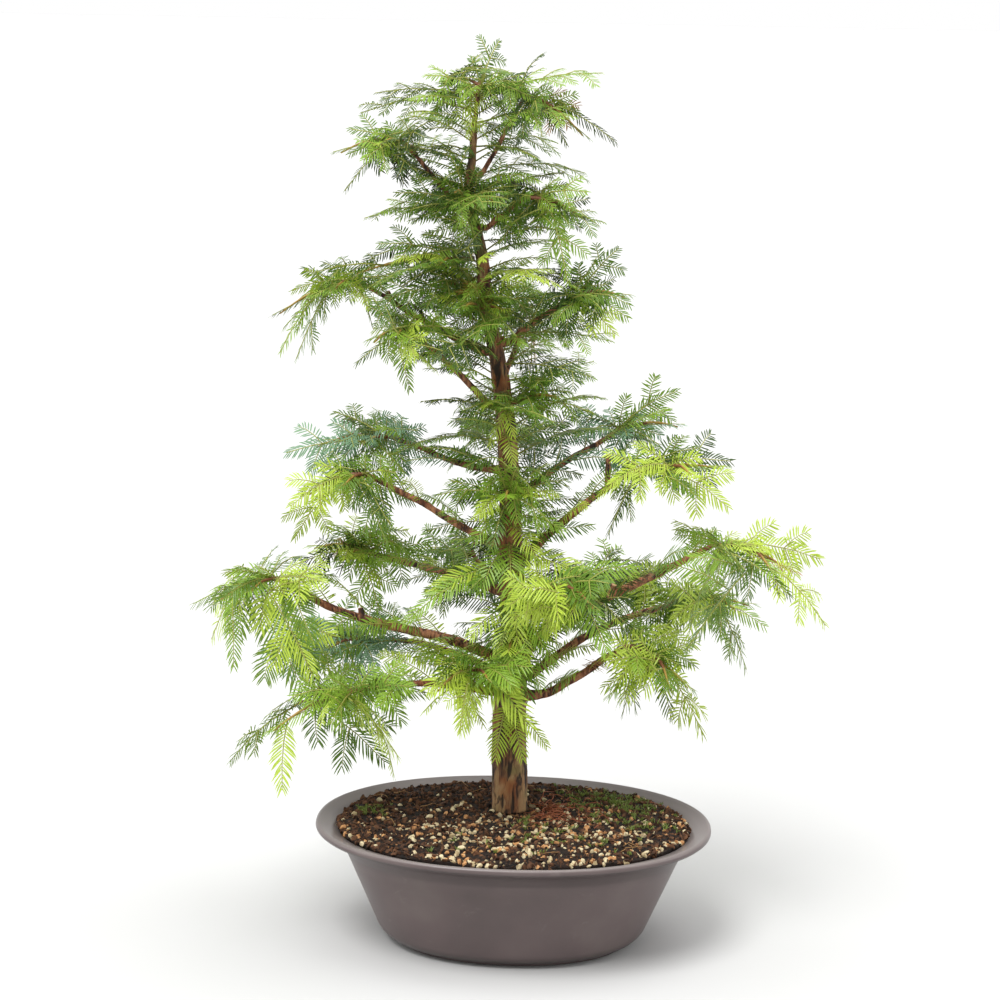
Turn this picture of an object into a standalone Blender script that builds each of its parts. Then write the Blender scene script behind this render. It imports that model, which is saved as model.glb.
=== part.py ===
"""Dawn redwood bonsai in an oval training pot, at its real size in metres.

+Z is up, +X runs along the pot's length, and the origin is the centre of the pot's flat underside.
The tree is a trunk, its boughs and the masses of sprays that end them. Every limb and mass is
worked out from the rows of sizes below: heights are above the floor and azimuths are in degrees,
0 along +X and 90 along +Y.
"""

import math
import random
from collections import namedtuple

import bmesh
import bpy
from mathutils import Quaternion, Vector
from mathutils.bvhtree import BVHTree

GAP = 0.0003  # left between pieces that touch

# Pot: a moulded oval training pot
RIM_LENGTH, RIM_WIDTH = 0.406, 0.320
POT_HEIGHT = 0.121
BASE_LENGTH, BASE_WIDTH = 0.264, 0.217  # where the straight walls would meet the floor
SHOULDER_LENGTH, SHOULDER_WIDTH, SHOULDER_HEIGHT = 0.344, 0.258, 0.0915
LIP_REACH, LIP_RISE = 0.022, 0.0065
BEAD_RADIUS = 0.0034
WALL = 0.0048
FLOOR = 0.0085
CORNER_RADIUS, CORNER_STEPS = 0.014, 2
COVE_STEPS = 3  # from the top of the straight wall out to the bead
FOOT_INSET, FOOT_HEIGHT = 0.0125, 0.0035
SQUARENESS = 2.15  # 2 is an ellipse, more is squarer
OVAL_SIDES = 32
DRAIN_RADIUS, DRAIN_SPACING = 0.008, 0.12

# Soil: (share of the way from the rim to the trunk, height), and the lumps of its coarse grains
SOIL_MOUND = (
    (0.0, 0.1170),
    (0.08, 0.1202),
    (0.24, 0.1224),
    (0.42, 0.1232),
    (0.60, 0.1236),
    (0.80, 0.1236),
)
SOIL_LUMP = 0.0011  # how far a lump stands above or below the mound
SOIL_PAD_RADIUS, SOIL_PAD_HEIGHT = 0.026, 0.1210

# Trunk: (height, sideways, forward and back, radius) of its centre line
TrunkStep = namedtuple("TrunkStep", "height side depth radius")
TRUNK_STEPS = (
    TrunkStep(0.1213, -0.0053, 0.035, 0.0168),
    TrunkStep(0.1540, -0.0062, 0.035, 0.0186),
    TrunkStep(0.2040, -0.0075, 0.035, 0.0180),
    TrunkStep(0.2490, -0.0075, 0.036, 0.0172),
    TrunkStep(0.2920, -0.0028, 0.037, 0.0166),
    TrunkStep(0.3440, -0.0055, 0.036, 0.0146),
    TrunkStep(0.4040, -0.0095, 0.034, 0.0125),
    TrunkStep(0.4720, -0.0120, 0.034, 0.0112),
    TrunkStep(0.5340, -0.0175, 0.036, 0.0100),
    TrunkStep(0.5940, -0.0265, 0.037, 0.0089),
    TrunkStep(0.6440, -0.0380, 0.036, 0.0080),
    TrunkStep(0.7040, -0.0450, 0.034, 0.0066),
    TrunkStep(0.7540, -0.0575, 0.034, 0.0054),
    TrunkStep(0.8040, -0.0545, 0.036, 0.0040),
    TrunkStep(0.8560, -0.0505, 0.035, 0.0022),
)
TRUNK_RINGS = 20

# Boughs: where each leaves the trunk, how far it reaches and rises, its slopes and its radii
Bough = namedtuple("Bough", "name height azimuth reach rise slope_in slope_out sway root tip")
BOUGHS = (
    Bough("low_right", 0.246, -14, 0.100, 0.056, 0.10, 0.50, -0.004, 0.0052, 0.0034),
    Bough("low_right_back", 0.266, 22, 0.150, 0.062, 0.80, 0.10, 0.006, 0.0050, 0.0030),
    Bough("low_back_right", 0.282, 62, 0.140, 0.045, 0.40, 0.25, -0.005, 0.0046, 0.0028),
    Bough("low_back", 0.306, 108, 0.135, 0.045, 0.50, 0.20, 0.006, 0.0046, 0.0028),
    Bough("low_back_left", 0.266, 148, 0.165, 0.008, 0.25, -0.15, 0.005, 0.0042, 0.0025),
    Bough("low_left_front", 0.250, 205, 0.135, 0.014, 0.35, -0.08, -0.006, 0.0044, 0.0026),
    Bough("low_left", 0.286, 188, 0.215, 0.075, 0.42, 0.70, 0.007, 0.0062, 0.0034),
    Bough("low_front_left", 0.266, 246, 0.052, 0.020, 0.45, 0.30, 0.002, 0.0036, 0.0026),
    Bough("low_front_right", 0.339, 302, 0.062, 0.034, 0.70, 0.45, -0.002, 0.0038, 0.0026),
    Bough("mid_right", 0.332, -8, 0.178, 0.076, 0.15, 0.60, 0.005, 0.0060, 0.0034),
    Bough("mid_left_back", 0.354, 163, 0.130, 0.024, 0.42, 0.15, -0.005, 0.0048, 0.0028),
    Bough("upper_right", 0.396, -5, 0.092, 0.076, 1.10, 0.70, -0.003, 0.0052, 0.0032),
    Bough("upper_back_right", 0.456, 34, 0.105, 0.050, 0.75, 0.35, 0.003, 0.0042, 0.0026),
    Bough("upper_back", 0.434, 95, 0.125, 0.056, 0.60, 0.30, -0.004, 0.0042, 0.0026),
    Bough("upper_left", 0.406, 192, 0.125, 0.066, 0.50, 0.55, 0.004, 0.0044, 0.0027),
    Bough("upper_left_back", 0.480, 164, 0.105, 0.022, 0.05, 0.25, -0.004, 0.0040, 0.0025),
    Bough("high_left_front", 0.547, 198, 0.082, 0.070, 0.95, 0.60, 0.003, 0.0038, 0.0024),
    Bough("high_left", 0.601, 173, 0.125, 0.062, 0.45, 0.65, 0.004, 0.0040, 0.0022),
    Bough("high_right", 0.611, -3, 0.058, 0.040, 0.80, 0.60, -0.002, 0.0036, 0.0024),
    Bough("high_back", 0.570, 82, 0.092, 0.046, 0.70, 0.35, 0.002, 0.0034, 0.0022),
    Bough("top_right", 0.726, -24, 0.040, 0.026, 0.75, 0.55, 0.001, 0.0030, 0.0020),
    Bough("top_right_back", 0.778, 4, 0.044, 0.070, 1.30, 1.50, -0.001, 0.0026, 0.0018),
    Bough("top_left", 0.746, 192, 0.055, 0.056, 1.00, 1.00, 0.002, 0.0030, 0.0019),
)
BOUGH_STEPS = 5
BOUGH_KINK = 0.0014  # how far a step wanders off the smooth line
COLLAR = 0.005  # length of the level stretch where a limb meets the trunk
COLLAR_SWELL = 1.25

# Masses: the space each keeps, measured from where its stem starts. forward, back, side, up and
# down are how far its sprays reach; bend is how far the stem's end lies above its start.
Mass = namedtuple("Mass", "name height azimuth forward back side up down bend sprays")
MASSES = (
    Mass("low_right", None, -10, 0.110, 0.015, 0.070, 0.016, 0.100, -0.034, 7),
    Mass("low_right_back", None, 10, 0.145, 0.030, 0.078, 0.016, 0.100, 0.000, 7),
    Mass("low_back_right", None, 62, 0.120, 0.060, 0.085, 0.030, 0.065, 0.004, 7),
    Mass("low_back", None, 108, 0.120, 0.060, 0.085, 0.030, 0.065, 0.004, 7),
    Mass("low_back_left", None, 166, 0.135, 0.055, 0.080, 0.030, 0.070, -0.016, 7),
    Mass("low_left_front", None, 196, 0.160, 0.060, 0.085, 0.024, 0.105, -0.040, 8),
    Mass("low_left", None, 184, 0.110, 0.080, 0.085, 0.026, 0.140, -0.016, 8),
    Mass("low_front_left", None, 232, 0.105, 0.000, 0.080, 0.030, 0.070, -0.010, 5),
    Mass("low_front_right", None, 312, 0.105, 0.000, 0.075, 0.026, 0.060, -0.010, 5),
    Mass("mid_right", None, -5, 0.140, 0.060, 0.085, 0.016, 0.100, -0.018, 8),
    Mass("mid_left_back", None, 172, 0.120, 0.060, 0.075, 0.036, 0.060, 0.004, 7),
    Mass("upper_right", None, -2, 0.168, 0.020, 0.078, 0.030, 0.050, 0.018, 7),
    Mass("upper_back_right", None, 14, 0.120, 0.045, 0.075, 0.044, 0.040, 0.010, 5),
    Mass("upper_back", None, 95, 0.110, 0.050, 0.090, 0.040, 0.055, 0.010, 5),
    Mass("upper_left", None, 186, 0.110, 0.045, 0.075, 0.026, 0.075, -0.016, 7),
    Mass("upper_left_back", None, 174, 0.145, 0.030, 0.075, 0.036, 0.050, -0.010, 7),
    Mass("high_left_front", None, 204, 0.070, 0.040, 0.070, 0.034, 0.060, -0.004, 6),
    Mass("high_left", None, 184, 0.140, 0.035, 0.068, 0.018, 0.068, -0.030, 6),
    Mass("high_right", None, -2, 0.100, 0.030, 0.070, 0.060, 0.034, 0.008, 6),
    Mass("high_back", None, 76, 0.095, 0.040, 0.080, 0.044, 0.050, 0.010, 5),
    Mass("top_right", None, -12, 0.110, 0.020, 0.065, 0.030, 0.070, -0.014, 6),
    Mass("top_right_back", None, 4, 0.100, 0.020, 0.060, 0.016, 0.060, -0.030, 6),
    Mass("top_left", None, 186, 0.110, 0.020, 0.065, 0.028, 0.055, -0.004, 6),
    Mass("front", 0.309, 268, 0.105, 0.000, 0.060, 0.026, 0.055, 0.000, 4),
    Mass("upper_front", 0.456, 270, 0.115, 0.000, 0.075, 0.044, 0.050, 0.010, 5),
    Mass("high_front_right", 0.552, -42, 0.110, 0.000, 0.068, 0.040, 0.040, 0.010, 5),
    Mass("high_front", 0.644, 256, 0.110, 0.000, 0.066, 0.036, 0.050, 0.008, 5),
    Mass("high_back_left", 0.659, 128, 0.135, 0.000, 0.080, 0.038, 0.050, 0.012, 5),
    Mass("top_left_low", 0.694, 186, 0.190, 0.000, 0.068, 0.030, 0.045, -0.016, 7),
    Mass("top_front", 0.749, 262, 0.105, 0.000, 0.070, 0.050, 0.045, 0.016, 5),
    Mass("top_back", 0.739, 100, 0.120, 0.000, 0.075, 0.050, 0.045, 0.016, 5),
    Mass("leader", None, 80, 0.040, 0.040, 0.050, 0.030, 0.045, 0.018, 5),
)
SEED = 7
STEM_RADIUS, STEM_TIP_RADIUS = 0.0026, 0.0014
STEM_STEPS = 4
STEM_SHARE = 0.62  # of the way forward through its mass
STEM_LEAD = 0.012  # how far it keeps to the limb's own way
STEM_LIFT = 0.10  # height of its arch over the mass's side
TWIG_RADIUS, TWIG_TIP_RADIUS = 0.0021, 0.0014
TWIG_STEPS = 2
TWIG_PLACES = (0.30, 0.62)  # along the stem, on its left and on its right
TWIG_SHARE = 0.52  # of the mass's side
TWIG_LEAD = 0.55  # how far ahead it goes for each step aside
TWIG_LIFT, TWIG_DROOP = 0.10, 0.12  # arch and fall over its length
FULL_MASS = 7  # sprays from which a mass has both twigs
GOLDEN_ANGLE = math.pi * (3 - math.sqrt(5))  # between one spray's aim and the next
AIM_TURN, AIM_TILT = 0.35, 0.12  # how far an aim strays, in radians and as a share of the space
SPRAY_LONGEST, SPRAY_SHORTEST = 0.150, 0.060
SPRAY_NEAREST = 0.042  # a root nearer its aim than this is passed over
SPRAY_LIKELY = 0.085
SPRAY_STRAY = 0.060  # how much of a wrong length is as bad as growing a radian off its angle
SPRAY_SLIMNESS = 0.34  # half width over length
SPRAY_HALF_WIDTH_MOST = 0.036
SPRAY_THICKNESS = 0.0017
STALK_RADIUS = 0.0013
STALK_SHARE = 0.12  # of the spray's length, bare of needles
SPRAY_ARCH = 0.16  # height of its arch over its length
SPRAY_ANGLE = math.radians(55)  # from the twig that it grows on
SPRAY_TEETH = 3
NOTCH_SHARE = 0.30  # how much of the spray's width the notches leave
STEEPEST = 0.05  # sine from upright under which a spray spreads along the X axis
NOTCH_LEAD, TINE_LEAD, LAST_TINE_LEAD = 0.20, 0.95, 0.75  # how far on a notch or a tine lies
TINE_DROOP = 0.18
ROLL_LEAST, ROLL_MOST = math.radians(35), math.radians(75)
CLEARANCE = 0.0006  # between one mass and any other piece
TRIES = 8
ROOT_PLACES = 10  # along a stem or a twig; no two sprays share one
SOLVER = "MANIFOLD"  # the exact solver leaves crumbs where keen edges cross

COLOURS = {
    "pot": (0.122, 0.091, 0.089, 1.0),
    "soil": (0.036, 0.022, 0.014, 1.0),
    "trunk": (0.195, 0.105, 0.055, 1.0),
    "bough": (0.135, 0.072, 0.042, 1.0),
    "foliage": (0.175, 0.330, 0.052, 1.0),
}
ROUGHNESS = {"pot": 0.55, "soil": 0.95, "trunk": 0.85, "bough": 0.8, "foliage": 0.6}


# Scene and finishes


def clear_scene():
    for old in list(bpy.data.objects):
        bpy.data.objects.remove(old, do_unlink=True)


def new_collection(name):
    group = bpy.data.collections.new(name)
    bpy.context.scene.collection.children.link(group)
    return group


def finish(piece, kind):
    """Gives the piece its own material, in the colour and roughness of its kind."""
    material = bpy.data.materials.new(piece.name)
    material.use_nodes = True
    shader = material.node_tree.nodes["Principled BSDF"]
    shader.inputs["Base Color"].default_value = COLOURS[kind]
    shader.inputs["Roughness"].default_value = ROUGHNESS[kind]
    shader.inputs["Metallic"].default_value = 0.0
    piece.data.materials.clear()
    piece.data.materials.append(material)
    return piece


def mesh_object(name, vertices, faces, group):
    mesh = bpy.data.meshes.new(name)
    mesh.from_pydata(vertices, [], faces)
    piece = bpy.data.objects.new(name, mesh)
    group.objects.link(piece)
    return piece


def tree_of(vertices, faces):
    return BVHTree.FromPolygons(vertices, faces)


def tree_of_object(piece):
    vertices = [piece.matrix_world @ v.co for v in piece.data.vertices]
    return tree_of(vertices, [tuple(p.vertices) for p in piece.data.polygons])


# Shapes


def loft(rings):
    """Vertices and faces of a closed skin through rings of equal length, capped at both ends."""
    count = len(rings[0])
    vertices = [point for ring in rings for point in ring]
    faces = [tuple(range(count - 1, -1, -1))]
    for row in range(len(rings) - 1):
        low, high = row * count, (row + 1) * count
        for k in range(count):
            after = (k + 1) % count
            faces.append((low + k, low + after, high + after, high + k))
    last = (len(rings) - 1) * count
    faces.append(tuple(range(last, last + count)))
    return vertices, faces


def oval(half_length, half_width, z, centre=(0.0, 0.0), squareness=SQUARENESS):
    ring = []
    for k in range(OVAL_SIDES):
        angle = 2 * math.pi * k / OVAL_SIDES
        c, s = math.cos(angle), math.sin(angle)
        x = half_length * math.copysign(abs(c) ** (2 / squareness), c)
        y = half_width * math.copysign(abs(s) ** (2 / squareness), s)
        ring.append(Vector((centre[0] + x, centre[1] + y, z)))
    return ring


def blended(a, b, share):
    return a + (b - a) * share


def tapered(root, tip, steps):
    return [blended(root, tip, k / steps) for k in range(steps + 1)]


def hermite(start, end, slope_in, slope_out, t):
    """A cubic from start to end over t 0 to 1, leaving and arriving at the given slopes."""
    a, b = 2 * t**3 - 3 * t**2 + 1, -2 * t**3 + 3 * t**2
    c, d = t**3 - 2 * t**2 + t, t**3 - t**2
    return a * start + b * end + c * slope_in + d * slope_out


def tube(name, points, radii, resolution, group):
    """A closed mesh round a line of points, from a curve with a bevel and filled caps."""
    curve = bpy.data.curves.new(name, "CURVE")
    curve.dimensions = "3D"
    curve.twist_mode = "MINIMUM"
    curve.bevel_depth = 1.0
    curve.bevel_resolution = resolution
    curve.use_fill_caps = True
    spline = curve.splines.new("POLY")
    spline.points.add(len(points) - 1)
    for place, point, radius in zip(spline.points, points, radii):
        place.co = (*point, 1.0)
        place.radius = radius
    guide = bpy.data.objects.new(name + "_line", curve)
    group.objects.link(guide)
    bpy.context.view_layer.update()
    mesh = bpy.data.meshes.new_from_object(guide.evaluated_get(bpy.context.evaluated_depsgraph_get()))
    mesh.name = name
    piece = bpy.data.objects.new(name, mesh)
    piece.matrix_world = guide.matrix_world
    bpy.data.objects.remove(guide, do_unlink=True)
    shell = bmesh.new()
    shell.from_mesh(mesh)
    bmesh.ops.remove_doubles(shell, verts=shell.verts, dist=1e-6)
    bmesh.ops.recalc_face_normals(shell, faces=shell.faces)
    shell.to_mesh(mesh)
    shell.free()
    group.objects.link(piece)
    mesh.shade_smooth()
    mesh.set_sharp_from_angle(angle=math.radians(50))
    return piece


def twig_rings(points, radii):
    """Three-sided rings along a line of points, one edge of each on top."""
    rings = []
    for k, (point, radius) in enumerate(zip(points, radii)):
        ahead = points[min(k + 1, len(points) - 1)] - points[max(k - 1, 0)]
        if k == 0:
            ahead = points[1] - points[0]
        ahead.normalize()
        side = ahead.cross(Vector((0, 0, 1)))
        side = side.normalized() if side.length > 0.05 else Vector((1, 0, 0))
        top = side.cross(ahead)
        ring = []
        for corner in range(3):
            angle = math.pi / 2 - 2 * math.pi * corner / 3
            ring.append(point + radius * (math.cos(angle) * side + math.sin(angle) * top))
        rings.append(ring)
    return rings


# Pot and soil


def wall_at(z):
    """Half length and half width of the pot's straight outer wall at a height."""
    share = z / SHOULDER_HEIGHT
    return (
        blended(BASE_LENGTH, SHOULDER_LENGTH, share) / 2,
        blended(BASE_WIDTH, SHOULDER_WIDTH, share) / 2,
    )


def inner_wall_at(z, more=0.0):
    half_length, half_width = wall_at(z)
    return half_length - WALL - more, half_width - WALL - more


def make_pot(group, cutters):
    half_length, half_width = RIM_LENGTH / 2, RIM_WIDTH / 2
    base_length, base_width = wall_at(FOOT_HEIGHT)
    rings = [
        oval(base_length - FOOT_INSET, base_width - FOOT_INSET, 0.0),
        oval(base_length - FOOT_INSET, base_width - FOOT_INSET, FOOT_HEIGHT),
    ]
    for step in range(CORNER_STEPS + 1):
        angle = math.radians(90) * step / CORNER_STEPS
        length, width = wall_at(FOOT_HEIGHT + CORNER_RADIUS * (1 - math.cos(angle)))
        inset = CORNER_RADIUS * 0.75 * (1 - math.sin(angle))
        height = FOOT_HEIGHT + CORNER_RADIUS * (1 - math.cos(angle))
        rings.append(oval(length - inset, width - inset, height))
    rings.append(oval(*wall_at(SHOULDER_HEIGHT), SHOULDER_HEIGHT))
    shoulder_inset = half_length - SHOULDER_LENGTH / 2
    bead_bottom = POT_HEIGHT - 2 * BEAD_RADIUS - 0.001
    for step in range(1, COVE_STEPS + 1):
        share = step / COVE_STEPS
        inset = blended(shoulder_inset, BEAD_RADIUS, share)
        rise = blended(SHOULDER_HEIGHT, bead_bottom, math.sin(share * math.pi / 2))
        rings.append(oval(half_length - inset, half_width - inset, rise))
    for step in range(1, 5):
        angle = math.radians(-60 + 50 * step)
        out = BEAD_RADIUS * (1 - math.cos(angle))
        rise = POT_HEIGHT - BEAD_RADIUS * (1 - math.sin(angle))
        rings.append(oval(half_length - out, half_width - out, rise))
    lip = (half_length - LIP_REACH, half_width - LIP_REACH)
    rings.append(oval(half_length - 2 * BEAD_RADIUS, half_width - 2 * BEAD_RADIUS, POT_HEIGHT - 0.0014))
    rings.append(oval(*lip, POT_HEIGHT - LIP_RISE))
    rings.append(oval(*inner_wall_at(SHOULDER_HEIGHT + 0.010), SHOULDER_HEIGHT + 0.010))
    rings.append(oval(*inner_wall_at(FLOOR + 0.008), FLOOR + 0.008))
    rings.append(oval(*inner_wall_at(FLOOR, 0.006), FLOOR))
    pot = mesh_object("pot", *loft(rings), group)
    for side in (-1, 1):
        bpy.ops.mesh.primitive_cylinder_add(
            vertices=16,
            radius=DRAIN_RADIUS,
            depth=4 * FLOOR,
            location=(side * DRAIN_SPACING / 2, 0, FLOOR / 2),
        )
        cutter = bpy.context.object
        cutter.name = "drain_cutter_" + ("left" if side < 0 else "right")
        for owner in list(cutter.users_collection):
            owner.objects.unlink(cutter)
        cutters.objects.link(cutter)
        cutter.hide_render = True
        cutter.display_type = "WIRE"
        hole = pot.modifiers.new(cutter.name, "BOOLEAN")
        hole.operation = "DIFFERENCE"
        hole.object = cutter
        hole.solver = "EXACT"
    pot.data.shade_smooth()
    pot.data.set_sharp_from_angle(angle=math.radians(35))
    return finish(pot, "pot")


def make_soil(group):
    trunk_foot = (TRUNK_STEPS[0].side, TRUNK_STEPS[0].depth)
    lip_z = POT_HEIGHT - LIP_RISE
    edge = (RIM_LENGTH / 2 - LIP_REACH - 2 * GAP, RIM_WIDTH / 2 - LIP_REACH - 2 * GAP)
    rings = [
        oval(*inner_wall_at(FLOOR + GAP, 0.006 + 2 * GAP), FLOOR + GAP),
        oval(*inner_wall_at(FLOOR + 0.008, 2 * GAP), FLOOR + 0.008 + GAP),
        oval(*inner_wall_at(SHOULDER_HEIGHT + 0.010, 2 * GAP), SHOULDER_HEIGHT + 0.010),
        oval(*edge, lip_z + GAP),
    ]
    rng = random.Random(SEED)
    for share, height in SOIL_MOUND:
        centre = (trunk_foot[0] * share, trunk_foot[1] * share)
        length = blended(edge[0], SOIL_PAD_RADIUS, share)
        width = blended(edge[1], SOIL_PAD_RADIUS, share)
        ring = oval(length, width, height, centre, blended(SQUARENESS, 2.0, share))
        for point in ring:
            point.z += rng.uniform(-SOIL_LUMP, SOIL_LUMP)
        rings.append(ring)
    rings.append(oval(SOIL_PAD_RADIUS, SOIL_PAD_RADIUS, SOIL_PAD_HEIGHT, trunk_foot, 2.0))
    soil = mesh_object("soil", *loft(rings), group)
    soil.data.shade_smooth()
    soil.data.set_sharp_from_angle(angle=math.radians(50))
    return finish(soil, "soil")


# Trunk and boughs


def trunk_at(height):
    """Centre and radius of the trunk at a height, on a smooth line through its steps."""
    steps = TRUNK_STEPS
    k = max(i for i in range(len(steps) - 1) if steps[i].height <= height or i == 0)
    before, a, b, after = steps[max(k - 1, 0)], steps[k], steps[k + 1], steps[min(k + 2, len(steps) - 1)]
    span = b.height - a.height
    t = (height - a.height) / span
    found = []
    for field in ("side", "depth", "radius"):
        p, q, r, s = (getattr(step, field) for step in (before, a, b, after))
        slope_in = (r - p) / (b.height - before.height) * span
        slope_out = (s - q) / (after.height - a.height) * span
        found.append(hermite(q, r, slope_in, slope_out, t))
    return Vector((found[0], found[1], height)), found[2]


def make_trunk(group):
    foot, top = TRUNK_STEPS[0].height, TRUNK_STEPS[-1].height
    heights = [foot, foot + 0.004]
    heights += [foot + (top - foot) * k / TRUNK_RINGS for k in range(1, TRUNK_RINGS + 1)]
    centres, radii = zip(*(trunk_at(height) for height in heights))
    centres = list(centres)
    centres[0] = Vector((centres[1].x, centres[1].y, foot))  # so that the foot is cut level
    return finish(tube("trunk", centres, radii, 3, group), "trunk")


def heading(azimuth):
    angle = math.radians(azimuth)
    return Vector((math.cos(angle), math.sin(angle), 0.0))


def meet_trunk(trunk_tree, height, azimuth, radius):
    """The point where a limb of this radius, leaving level, clears the trunk by GAP."""
    out = heading(azimuth)
    across = out.cross(Vector((0, 0, 1)))
    centre, _ = trunk_at(height)
    far = 0.1
    nearest = far
    for k in range(13):
        angle = 2 * math.pi * k / 12
        reach = 0.0 if k == 12 else radius
        offset = reach * (math.cos(angle) * across + math.sin(angle) * Vector((0, 0, 1)))
        start = centre + out * far + offset
        _, _, _, distance = trunk_tree.ray_cast(start, -out)
        if distance is not None:
            nearest = min(nearest, distance)
    return centre + out * (far - nearest + GAP)


def bough_line(bough, start, rng):
    """Points from the trunk to the bough's tip, level for the collar and then along its slopes."""
    out = heading(bough.azimuth)
    across = out.cross(Vector((0, 0, 1)))
    points = [start, start + out * COLLAR]
    run = bough.reach - COLLAR
    for k in range(1, BOUGH_STEPS + 1):
        t = k / BOUGH_STEPS
        rise = hermite(0.0, bough.rise, bough.slope_in * run, bough.slope_out * run, t)
        wander = 0.0 if k == BOUGH_STEPS else BOUGH_KINK
        aside = bough.sway * math.sin(math.pi * t) + rng.uniform(-wander, wander)
        upward = rise + rng.uniform(-wander, wander)
        points.append(start + out * (COLLAR + run * t) + across * aside + Vector((0, 0, upward)))
    return points


def make_boughs(trunk_tree, group):
    """The boughs, and for each its tip and the way the tip points."""
    tips = {}
    pieces = []
    for number, bough in enumerate(BOUGHS):
        rng = random.Random(SEED * 100 + number)
        swollen = bough.root * COLLAR_SWELL
        start = meet_trunk(trunk_tree, bough.height, bough.azimuth, swollen)
        points = bough_line(bough, start, rng)
        radii = tapered(bough.root, bough.tip, len(points) - 1)
        radii[0] = swollen
        pieces.append(finish(tube("bough_" + bough.name, points, radii, 1, group), "bough"))
        tips[bough.name] = (points[-1], (points[-1] - points[-2]).normalized())
    return pieces, tips


# Masses of sprays


def spray_mesh(root, tip, arch, half_width, roll, swell=0.0):
    """A toothed blade on a three-sided stalk, along an arched midrib: (vertices, faces).

    Its teeth are the needles of one spray, in opposite pairs, and roll turns it about its rib. It
    is thick at the rib and keen at its edge. swell makes it that much bigger all round, for
    testing what it would touch.
    """
    middle = (root + tip) / 2 + Vector((0, 0, arch))
    end = tip + (tip - root).normalized() * swell
    level = (tip - root).cross(Vector((0, 0, 1)))
    level = level.normalized() if level.length > STEEPEST * (tip - root).length else Vector((1, 0, 0))
    vertices, faces = [], []

    def add(t, aside, above):
        """A vertex beside and above the rib at t, which runs from 0 at the root to 1 at the tip."""
        point = root * (1 - t) ** 2 + middle * 2 * t * (1 - t) + end * t**2
        ahead = ((middle - root) * (1 - t) + (end - middle) * t).normalized()
        across = (level - ahead * level.dot(ahead)).normalized()
        side = Quaternion(ahead, roll) @ across
        vertices.append(point + side * aside + side.cross(ahead) * above)
        return len(vertices) - 1

    def tooth_place(k):
        return STALK_SHARE + (1 - STALK_SHARE) * k / SPRAY_TEETH

    thick, narrow = STALK_RADIUS + swell, (STALK_RADIUS + swell) * math.sin(math.radians(60))
    stalk = [
        [add(t, 0, thick), add(t, narrow, -thick / 2), add(t, -narrow, -thick / 2)]
        for t in (0.0, STALK_SHARE)
    ]
    faces.append((stalk[0][0], stalk[0][2], stalk[0][1]))
    for k in range(3):
        after = (k + 1) % 3
        faces.append((stalk[0][k], stalk[0][after], stalk[1][after], stalk[1][k]))
    apex = add(1.0, 0, 0)
    tops, bottoms = [stalk[1][0]], [None]
    notches = {1: [stalk[1][1]], -1: [stalk[1][2]]}
    for k in range(1, SPRAY_TEETH):
        half = SPRAY_THICKNESS / 2 * (1 - 0.3 * k / SPRAY_TEETH) + swell
        tops.append(add(tooth_place(k), 0, half))
        bottoms.append(add(tooth_place(k), 0, -half))
        for hand in (1, -1):
            reach = half_width * tooth_envelope(k) * NOTCH_SHARE + swell
            notches[hand].append(add(tooth_place(k + NOTCH_LEAD), hand * reach, 0))
    tops.append(apex)
    bottoms.append(apex)
    faces.append((notches[1][0], notches[-1][0], bottoms[1]))
    for hand in (1, -1):
        notches[hand].append(apex)
        for k in range(SPRAY_TEETH):
            reach = half_width * tooth_envelope(k) + swell
            lead = TINE_LEAD if k < SPRAY_TEETH - 1 else LAST_TINE_LEAD
            tine = add(tooth_place(k + lead), hand * reach, -reach * TINE_DROOP)
            near, far = notches[hand][k], notches[hand][k + 1]
            for ridge, turned in ((tops, hand < 0), (bottoms, hand > 0)):
                fan = [(ridge[k + 1], tine, far)] if far != apex else []
                if ridge[k] is None:
                    fan.append((near, tine, ridge[k + 1]))
                else:
                    fan += [(ridge[k], near, tine), (ridge[k], tine, ridge[k + 1])]
                faces += [f[::-1] if turned else f for f in fan]
    return vertices, faces


def tooth_envelope(k):
    """How wide the k-th pair of teeth is, as a share of the spray's half width."""
    return math.sin(math.pi * (0.36 + 0.48 * k / SPRAY_TEETH))


def outer_part(faces):
    """The faces of a spray beyond its stalk, which is free to meet its own mass."""
    return faces[5:]


def mass_frame(mass):
    out = heading(mass.azimuth)
    return out, out.cross(Vector((0, 0, -1)))


def stem_line(mass, start, ahead):
    """The stem's points: it leaves along the limb that carries it, then turns to its own way."""
    out, _ = mass_frame(mass)
    reach = mass.forward * STEM_SHARE
    end = start + out * reach + Vector((0, 0, mass.bend))
    first = start + ahead * min(STEM_LEAD, reach / 3)
    points = [start, first]
    for k in range(1, STEM_STEPS):
        t = k / (STEM_STEPS - 1)
        lift = mass.side * STEM_LIFT * math.sin(math.pi * t)
        points.append(first.lerp(end, t) + Vector((0, 0, lift)))
    return points


def point_along(points, share):
    place = share * (len(points) - 1)
    k = min(int(place), len(points) - 2)
    return points[k].lerp(points[k + 1], place - k), (points[k + 1] - points[k]).normalized()


def twig_line(mass, stem, place, hand):
    root, ahead = point_along(stem, place)
    _, side = mass_frame(mass)
    way = (side * hand + ahead * TWIG_LEAD).normalized()
    length = mass.side * TWIG_SHARE
    points = [root]
    for k in range(1, TWIG_STEPS + 1):
        t = k / TWIG_STEPS
        rise = length * (TWIG_LIFT * math.sin(math.pi * t) - TWIG_DROOP * t)
        points.append(root + way * length * t + Vector((0, 0, rise)))
    return points


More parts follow.
